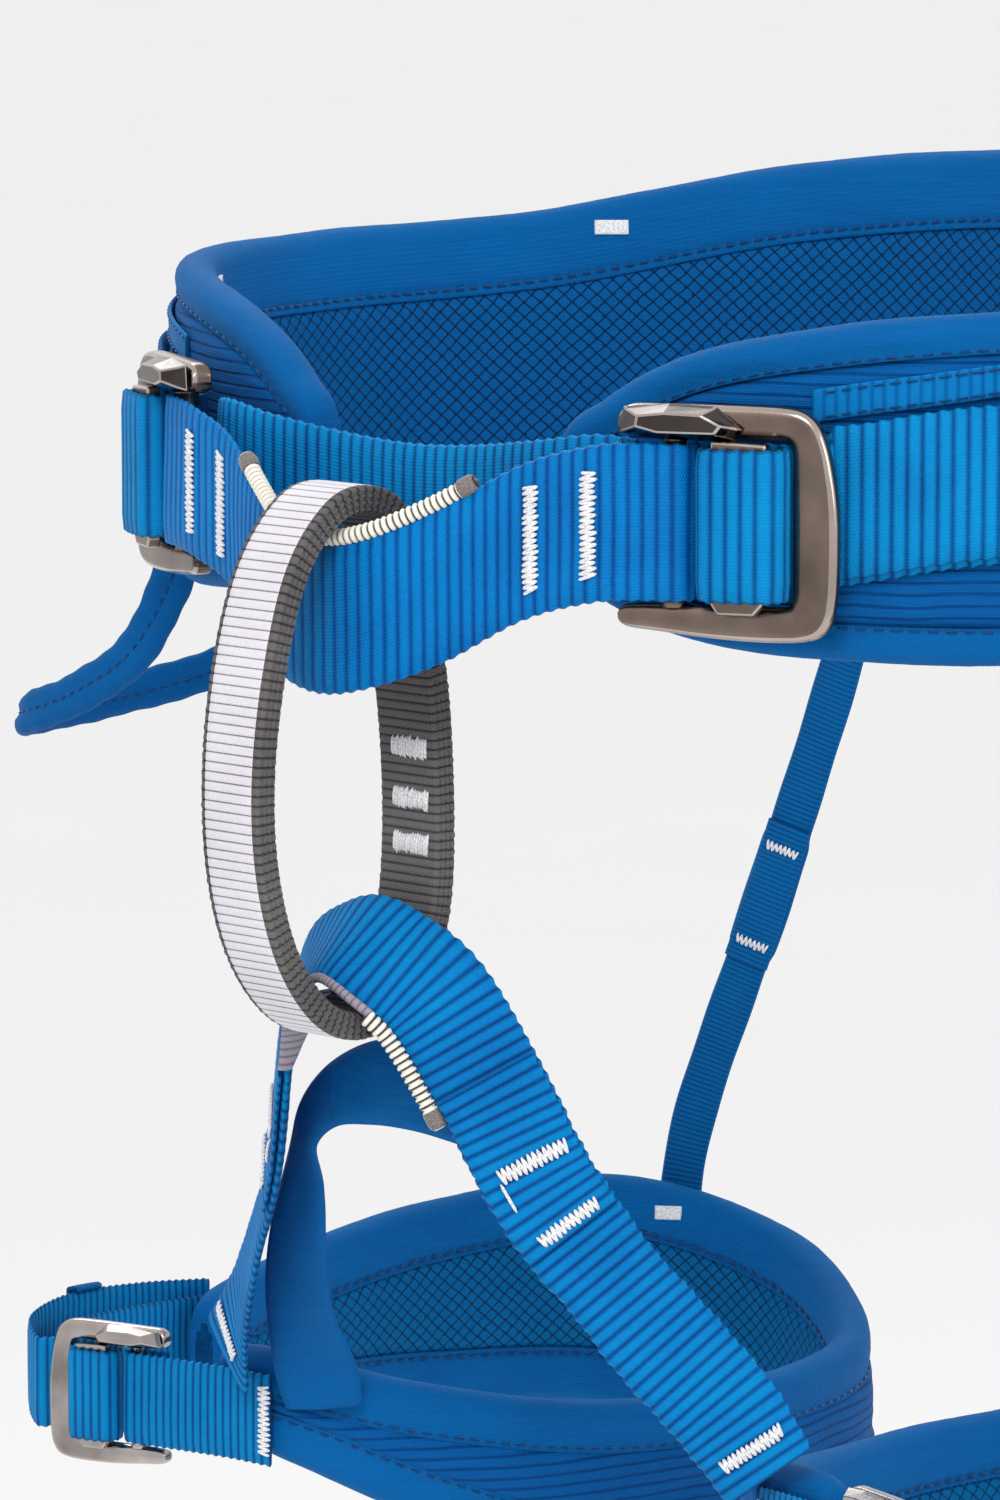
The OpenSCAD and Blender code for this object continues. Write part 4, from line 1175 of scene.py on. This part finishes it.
def leg_pads():
    def outer(a, z, share):
        fold = 0.45 * creases(a, z, 7, pitch=6.0) * np.clip(1 - share ** 2, 0, 1)
        return 1.1 * np.clip(1 - share ** 4, 0, 1) + fold

    def inner(a, z, share):
        return 0.8 * np.clip(1 - share ** 4, 0, 1) + 0.2 * creases(a, z, 9, pitch=14.0, long_pitch=50.0)
    obj = pad_core("leg_pad", LEG_SHAPE, [MAT["shell"], MAT["leg_lining"]], outer, inner, 6.5, 9.2)
    pair(obj, "{}_leg", ["{}_leg_foam", "{}_leg_shell", "{}_leg_lining"])
    obj = binding("leg_rolled_binding", LEG_SHAPE, 4.4, 7.0, 9.5, 17)
    pair(obj, "{}_leg", ["{}_leg_binding"])
    pair(rim_stitches("leg_binding_seam", LEG_SHAPE, 9.5, 0.86, -1, radius=0.3), "{}_leg")
    pair(rim_stitches("leg_outer_seam", LEG_SHAPE, 7.0, 0.84, 1), "{}_leg")
    pair(tab("leg_tab_stitch", LEG_SHAPE, np.array(ELASTIC[-1][:2]), 4.55, 3.4), "{}_leg")


def leg_straps():
    fixed = ribbed("leg_fixed_strap", LEG_FIXED, wall_at(LEG_FIXED), 1.25, len(LEG_FIXED) - 1,
                   MAT["leg_web"], LEG_WEB_T, pitch=2.0, amp=0.16, wave=0.15)
    pair(fixed, "{}_leg", ["{}_leg_strap"])
    threads = tack(wall_at(LEG_FIXED), 1.34, 15.0, 2.8, LEG_WEB_T / 2 + 0.22, 61)
    obj = stitches("leg_strap_tack_threads", threads, 0.34)
    pair(obj, "{}_leg")
    blend = ("{}_leg_buckle", (147, -56, LEG_BUCKLE_Z), (126, -77, LEG_BUCKLE_Z))
    load = strap("leg_load_strap", LEG_LOAD, "leg_web", LEG_WEB_T,
                  pitch=2.0, amp=0.16, wave=0.15, seed=1.0)
    pair(load, "{}_leg", blend=blend)
    tail = strap("leg_tail_strap", LEG_TAIL, "leg_web", LEG_WEB_T,
                  pitch=2.0, amp=0.16, wave=0.18, seed=2.0)
    pair(tail, "{}_leg", ["{}_leg_tail"], blend=blend)
    path = [(x, y, low - 1, high + 1) for x, y, low, high in LEG_TAIL]
    band = keeper("leg_keeper_band", path, -1.2, 1.9, 5.05, 5.45)
    pair(band, "{}_leg", ["{}_leg_keeper"])


def rear_elastics():
    def sewn(k):
        lap = 1 / (1 + np.exp(-(np.abs(k - 0.48) - 0.085) * 220))
        return 1.0 + 0.16 * (1 - lap) + 0.02 * np.sin(k * 41)
    end = len(ELASTIC) - 1
    obj = ribbed("rear_elastic_strap", ELASTIC, ribbon_at(ELASTIC, ELASTIC_ACROSS, 10.0), 0, end,
                 MAT["elastic"], 1.4, pitch=1.2, amp=0.10, wave=0.2, narrow=sewn, k=7)
    blend = ("{}_leg", ELASTIC[0], ELASTIC[-1])
    pair(obj, "waist_belt", ["{}_rear_elastic"], blend=blend)
    lap = ribbed("rear_elastic_lap", ELASTIC, ribbon_at(ELASTIC, ELASTIC_ACROSS, 10.6, 1.1),
                 1.72, 2.25, MAT["elastic"], 1.0, pitch=1.2, amp=0.08, k=7)
    pair(lap, "waist_belt", blend=blend)
    frame_at = ribbon_at(ELASTIC, ELASTIC_ACROSS, 1.0)
    threads = []
    for s0, lift, seed in ((1.80, 1.75, 18), (2.17, 1.75, 21), (3.86, 0.9, 38)):
        threads += tack(frame_at, s0, 7.5, 2.2, lift, seed)
    # the lowest tack shows on the back of the strap as well
    threads += [(a, b, -n) for a, b, n in tack(frame_at, 3.86, 7.5, 2.2, -1.6, 38)]
    obj = stitches("rear_elastic_tacks", threads, 0.3)
    pair(obj, "waist_belt", blend=blend)


# ---------------------------------------------------------------- loops
def sleeve_loop(name, path, across_pts, width, thick, groove, flatten=0.0):
    """Soft tube: flattened oval, pinched by a seam along both faces, flatter at its sewn ends."""
    s, u = even(path, 0, len(path) - 1, 1.0)
    share = u / u[-1]
    k = 20
    a = np.arange(k) * 2 * math.pi / k
    x = np.sign(np.cos(a)) * np.abs(np.cos(a)) ** 0.8
    y = np.sign(np.sin(a)) * np.abs(np.sin(a)) ** 0.9
    pinch = 1 - groove * np.exp(-(x / 0.22) ** 2)
    ends = 1 - flatten * (np.exp(-share / 0.04) + np.exp(-(1 - share) / 0.04))
    ripple = 1 + 0.025 * np.sin(u * 0.9)[:, None] * np.cos(a)[None, :] + 0.02 * np.sin(u * 0.37 + 1)[:, None]
    h = thick / 2 * (y * pinch) * ends[:, None] * ripple
    rings = ring_grid(ribbon_frames(path, across_pts, s, width), width / 2 * x * ripple, h)
    return loft(name, rings, u, np.arange(k) * (width + thick) / k * 1.6, MAT["gear"])


def gear_loops():
    across = [(-0.2 * q[0] / 130, -0.2 * q[1] / 105, 1) for q in GEAR]
    obj = sleeve_loop("gear_loop_sleeve", GEAR, across, 9.5, 5.0, 0.35, flatten=0.45)
    pair(obj, "{}_gear_loop", ["{}_gear_loop"])
    segments = []
    mid, _, normal, _ = ribbon_frames(GEAR, across, even(GEAR, 0.3, len(GEAR) - 1.3, 3.0)[0], 1.0)
    for near, after, n in zip(mid, mid[1:], normal):
        far = near + (after - near) * 0.65
        segments += [(near + n * side * 1.75, far + n * side * 1.75, n * side) for side in (-1, 1)]
    obj = stitches("gear_loop_seam", segments, 0.24, "blue_thread")
    pair(obj, "{}_gear_loop")


def haul_loop():
    obj = sleeve_loop("haul_loop_cord", HAUL, [(0, 1, 0.1)] * len(HAUL), 4.5, 6.0, 0.15)
    single(obj, ["haul_loop"], body="haul_loop")


# ---------------------------------------------------------------- buckles
OUTER = [(-22.0, 19.0), (-21.7, 21.2), (-19.6, 22.7), (-14, 22.9), (-4, 23.0), (5, 23.0), (11.8, 22.8),
         (15.8, 21.9), (18.6, 19.4), (20.4, 15.0), (21.6, 9.5), (22.3, 4.5), (22.6, 0)]
OUTER_LOW = [(22.6, 0), (22.6, -4.5), (22.5, -10), (22.2, -14.5), (21.4, -18.6), (19.3, -21.6), (15.8, -22.8),
             (11.0, -23.2), (4, -23.2), (-4, -22.8), (-14, -21.8), (-19.8, -21.2), (-21.8, -20.2),
             (-22.0, -18.6)]
INNER = [(-21.9, 18.4), (-21.4, 17.2), (-19.4, 16.55), (-14, 16.5), (-4, 16.5), (5, 16.5), (11.0, 16.5),
         (12.6, 16.2), (13.4, 15.0), (13.6, 12.8), (13.6, 8.5), (13.6, 4), (13.6, 0)]
INNER_LOW = [(13.6, 0), (13.6, -4), (13.6, -8.5), (13.6, -12.8), (13.4, -14.8), (12.6, -15.9), (11.0, -16.2),
             (5, -16.2), (-4, -16.3), (-14, -16.3), (-19.4, -16.5), (-21.4, -17.0), (-21.9, -18.0)]


def both_halves(top, low):
    """Resampled outline from the upper rail's free end round to the lower rail's."""
    top, low = [curve(side, np.linspace(0, len(side) - 1, 90)) for side in (top, low)]
    return np.vstack([top, low[1:]])


def local_to_model(p, buckle):
    """Buckle's own [x, y, z] (Y towards the body) to model millimetres."""
    (x0, y0, z0), turn, k = buckle
    c, s = math.cos(math.radians(turn)), math.sin(math.radians(turn))
    x, y, z = p[..., 0] * k, p[..., 1] * k, p[..., 2] * k
    return np.stack([x0 + c * x - s * y, y0 + s * x + c * y, z0 + z], -1)


def buckle_frame(name, buckle, mat):
    outer, inner = both_halves(OUTER, OUTER_LOW), both_halves(INNER, INNER_LOW)
    k = buckle[2]
    m = len(outer)
    # share across the bar from the outer edge to the inner edge, and height of the face there
    front = [(0.0, 0.15), (0.02, 0.55), (0.08, 0.82), (0.17, 0.97), (0.30, 1.0), (0.62, 1.0),
             (0.82, 0.97), (0.93, 0.86), (0.985, 0.60), (1.0, 0.2)]
    back = [(1.0, -0.5), (0.96, -0.85), (0.85, -1.0), (0.5, -1.0), (0.15, -1.0), (0.03, -0.85), (0.0, -0.4)]
    half = 2.0
    wide = np.clip((outer[:, 0] - 8) / 10, 0, 1)
    rings = []
    for share, h in front + back:
        p = outer + (inner - outer) * share
        bulge = 0.35 * np.sin(share * math.pi) * (1 - wide) if h > 0 else 0.0
        rings.append(np.stack([p[:, 0], -(h * half + bulge) + 0 * wide, p[:, 1]], -1))
    rings = local_to_model(np.stack(rings, 1), buckle)
    v = np.linspace(0, 30, rings.shape[1])
    # rings 1 and 2, the outer edge's chamfer, take the lighter bevel metal as a painted highlight
    frame_obj = loft(name, rings, np.arange(m) * 1.1 * k, v, [mat, MAT["bevel"]],
                     face_mat=lambda i, j: np.isin(j, (1, 2)).astype(int))
    # fixed bar with a slightly swollen root at each rail
    z = np.linspace(-16.9, 16.9, 31)
    r = 2.3 + 0.5 * np.clip((np.abs(z) - 14.5) / 2.4, 0, 1) ** 2
    a = np.arange(20) * 2 * math.pi / 20
    r, z_all = r[:, None], np.broadcast_to(z[:, None], (31, 20))
    bar = np.stack([BAR_X + r * np.cos(a), r * np.sin(a), z_all], -1)
    bar_obj = loft(name + "_bar", local_to_model(bar, buckle), z * k, np.arange(20) * 0.7, mat)
    return join(name, [frame_obj, bar_obj])


def faceted(name, levels, buckle, mat, bevel):
    """Hard-edged solid through stacked outlines [(y, [(x, z), ...]), ...], with small bevels in a lighter metal
    as a painted highlight.
    """
    rings = np.array([[(x, y, z) for x, z in outline] for y, outline in levels], float)
    u, v = np.arange(len(levels)), np.arange(rings.shape[1])
    obj = loft(name, local_to_model(rings, buckle), u, v, mat, sharp=True)
    mod = obj.modifiers.new("bevel", "BEVEL")
    mod.width = bevel * MM
    mod.segments = 3
    mod.limit_method = "ANGLE"
    mod.angle_limit = math.radians(12)
    # the bevel faces take the lighter bevel metal as a painted highlight
    mod.harden_normals = False
    obj.data.materials.append(MAT["bevel"])
    mod.material = 1
    with bpy.context.temp_override(object=obj, active_object=obj):
        bpy.ops.object.modifier_apply(modifier="bevel")
    obj.data.polygons.foreach_set("use_smooth", np.zeros(len(obj.data.polygons), bool))
    return obj


def buckle_slider(name, buckle, mat, lug_mat):
    k = buckle[2]
    y0 = -3.1
    plate = [(-0.5, -17.6), (7.0, -17.6), (9.0, -15.4), (9.5, 16.0), (-2, 16.5), (-2, -15.4)]
    body = faceted(name + "_plate", [(y0, plate), (y0 - 3.0, [(x * 0.98, z * 0.995) for x, z in plate])],
                   buckle, mat, 0.5 * k)
    base = [(-21.8, 17.2), (-13.0, 16.1), (2.6, 16.1), (3.9, 18.6), (-1.5, 23.1), (-11.0, 23.4), (-20.6, 22.6)]
    mid = [(-20.6, 17.6), (-13.0, 16.6), (2.0, 16.6), (3.2, 18.8), (-1.9, 22.6), (-11.0, 22.9), (-19.6, 22.1)]
    top = [(-16.8, 19.0), (-12.4, 17.9), (-0.8, 17.9), (0.6, 19.6), (-3.6, 21.6), (-11.0, 21.8), (-16.4, 21.2)]
    lug = faceted(name + "_lug", [(y0, base), (y0 - 1.3, mid), (y0 - 4.6, top)], buckle, lug_mat, 0.35 * k)
    return join(name, [body, lug])


def buckles():
    for part, buckle, mat, lug_mat, slot in (
            ("waist", WAIST_BUCKLE, "bronze", "bronze_lug", "buckle_metal"),
            ("leg", LEG_BUCKLE, "steel", "steel", "leg_buckle_metal")):
        obj = buckle_frame(f"{part}_buckle_body", buckle, MAT[mat])
        pair(obj, "{}_%s_buckle" % part, ["{}_%s_buckle_frame" % part])
        obj = buckle_slider(f"{part}_slider_lug", buckle, MAT[mat], MAT[lug_mat])
        pair(obj, "{}_%s_slider" % part, ["{}_%s_buckle_slider" % part])


# ---------------------------------------------------------------- scene
def area_light(name, place_at, size, power):
    """White disc light aimed at the middle of the harness."""
    data = bpy.data.lights.new(name, "AREA")
    data.shape = "DISK"
    data.size = size
    data.energy = power
    obj = linked(name, data)
    obj.location = place_at
    direction = mathutils.Vector((0, 0, -0.1)) - obj.location
    obj.rotation_euler = direction.to_track_quat("-Z", "Y").to_euler()


def make_camera():
    azimuth, height, distance = math.radians(45), math.radians(8), 1.6
    right = np.array([math.cos(azimuth), math.sin(azimuth), 0.0])
    flat = math.cos(height)
    back = np.array([math.sin(azimuth) * flat, -math.cos(azimuth) * flat, math.sin(height)])
    up = np.cross(back, right)
    aim = -0.0516 * right - 0.0655 * up
    data = bpy.data.cameras.new("camera")
    data.sensor_fit = "VERTICAL"
    data.sensor_height = 36.0
    data.lens = 182.4
    data.clip_end = 300.0
    obj = linked("camera", data)
    placing = np.column_stack([right, up, back, aim + distance * back])
    obj.matrix_world = mathutils.Matrix(np.vstack([placing, [0, 0, 0, 1]]))
    bpy.context.scene.camera = obj


def make_floor():
    mesh = bpy.data.meshes.new("floor")
    r, z = 70.0, -0.85
    mesh.from_pydata([(-r, -r, z), (r, -r, z), (r, r, z), (-r, r, z)], [], [(0, 1, 2, 3)])
    floor = linked("floor", mesh)
    g = Graph("floor_pale")
    fine = g.noise(3.0, 2.0)
    colour = g.ramp(fine, (0.0, (0.90, 0.90, 0.90)), (1.0, (0.92, 0.92, 0.92)))
    mesh.materials.append(g.finish(colour, 0.8))


def make_world():
    bpy.context.scene.view_settings.view_transform = "Standard"
    world = bpy.data.worlds.new("studio")
    world.use_nodes = True
    world.node_tree.nodes["Background"].inputs[0].default_value = (0.95, 0.95, 0.95, 1.0)
    world.node_tree.nodes["Background"].inputs[1].default_value = 1.0
    bpy.context.scene.world = world


def make_lights():
    area_light("key", (1.0, -1.5, 1.3), 0.8, 22.0)
    area_light("side", (1.9, 0.3, 0.4), 0.8, 6.0)
    area_light("rim", (-1.5, 0.9, 1.2), 0.9, 8.0)


make_camera()
waist_pad()
waist_binding()
front_wings()
waist_straps()
strap_turns()
waist_keepers()
waist_tape()
waist_tags()
tie_in()
belay_loop()
leg_bridge()
risers()
wear_sleeve()
leg_pads()
leg_straps()
rear_elastics()
gear_loops()
haul_loop()
buckles()
make_floor()
make_world()
make_lights()
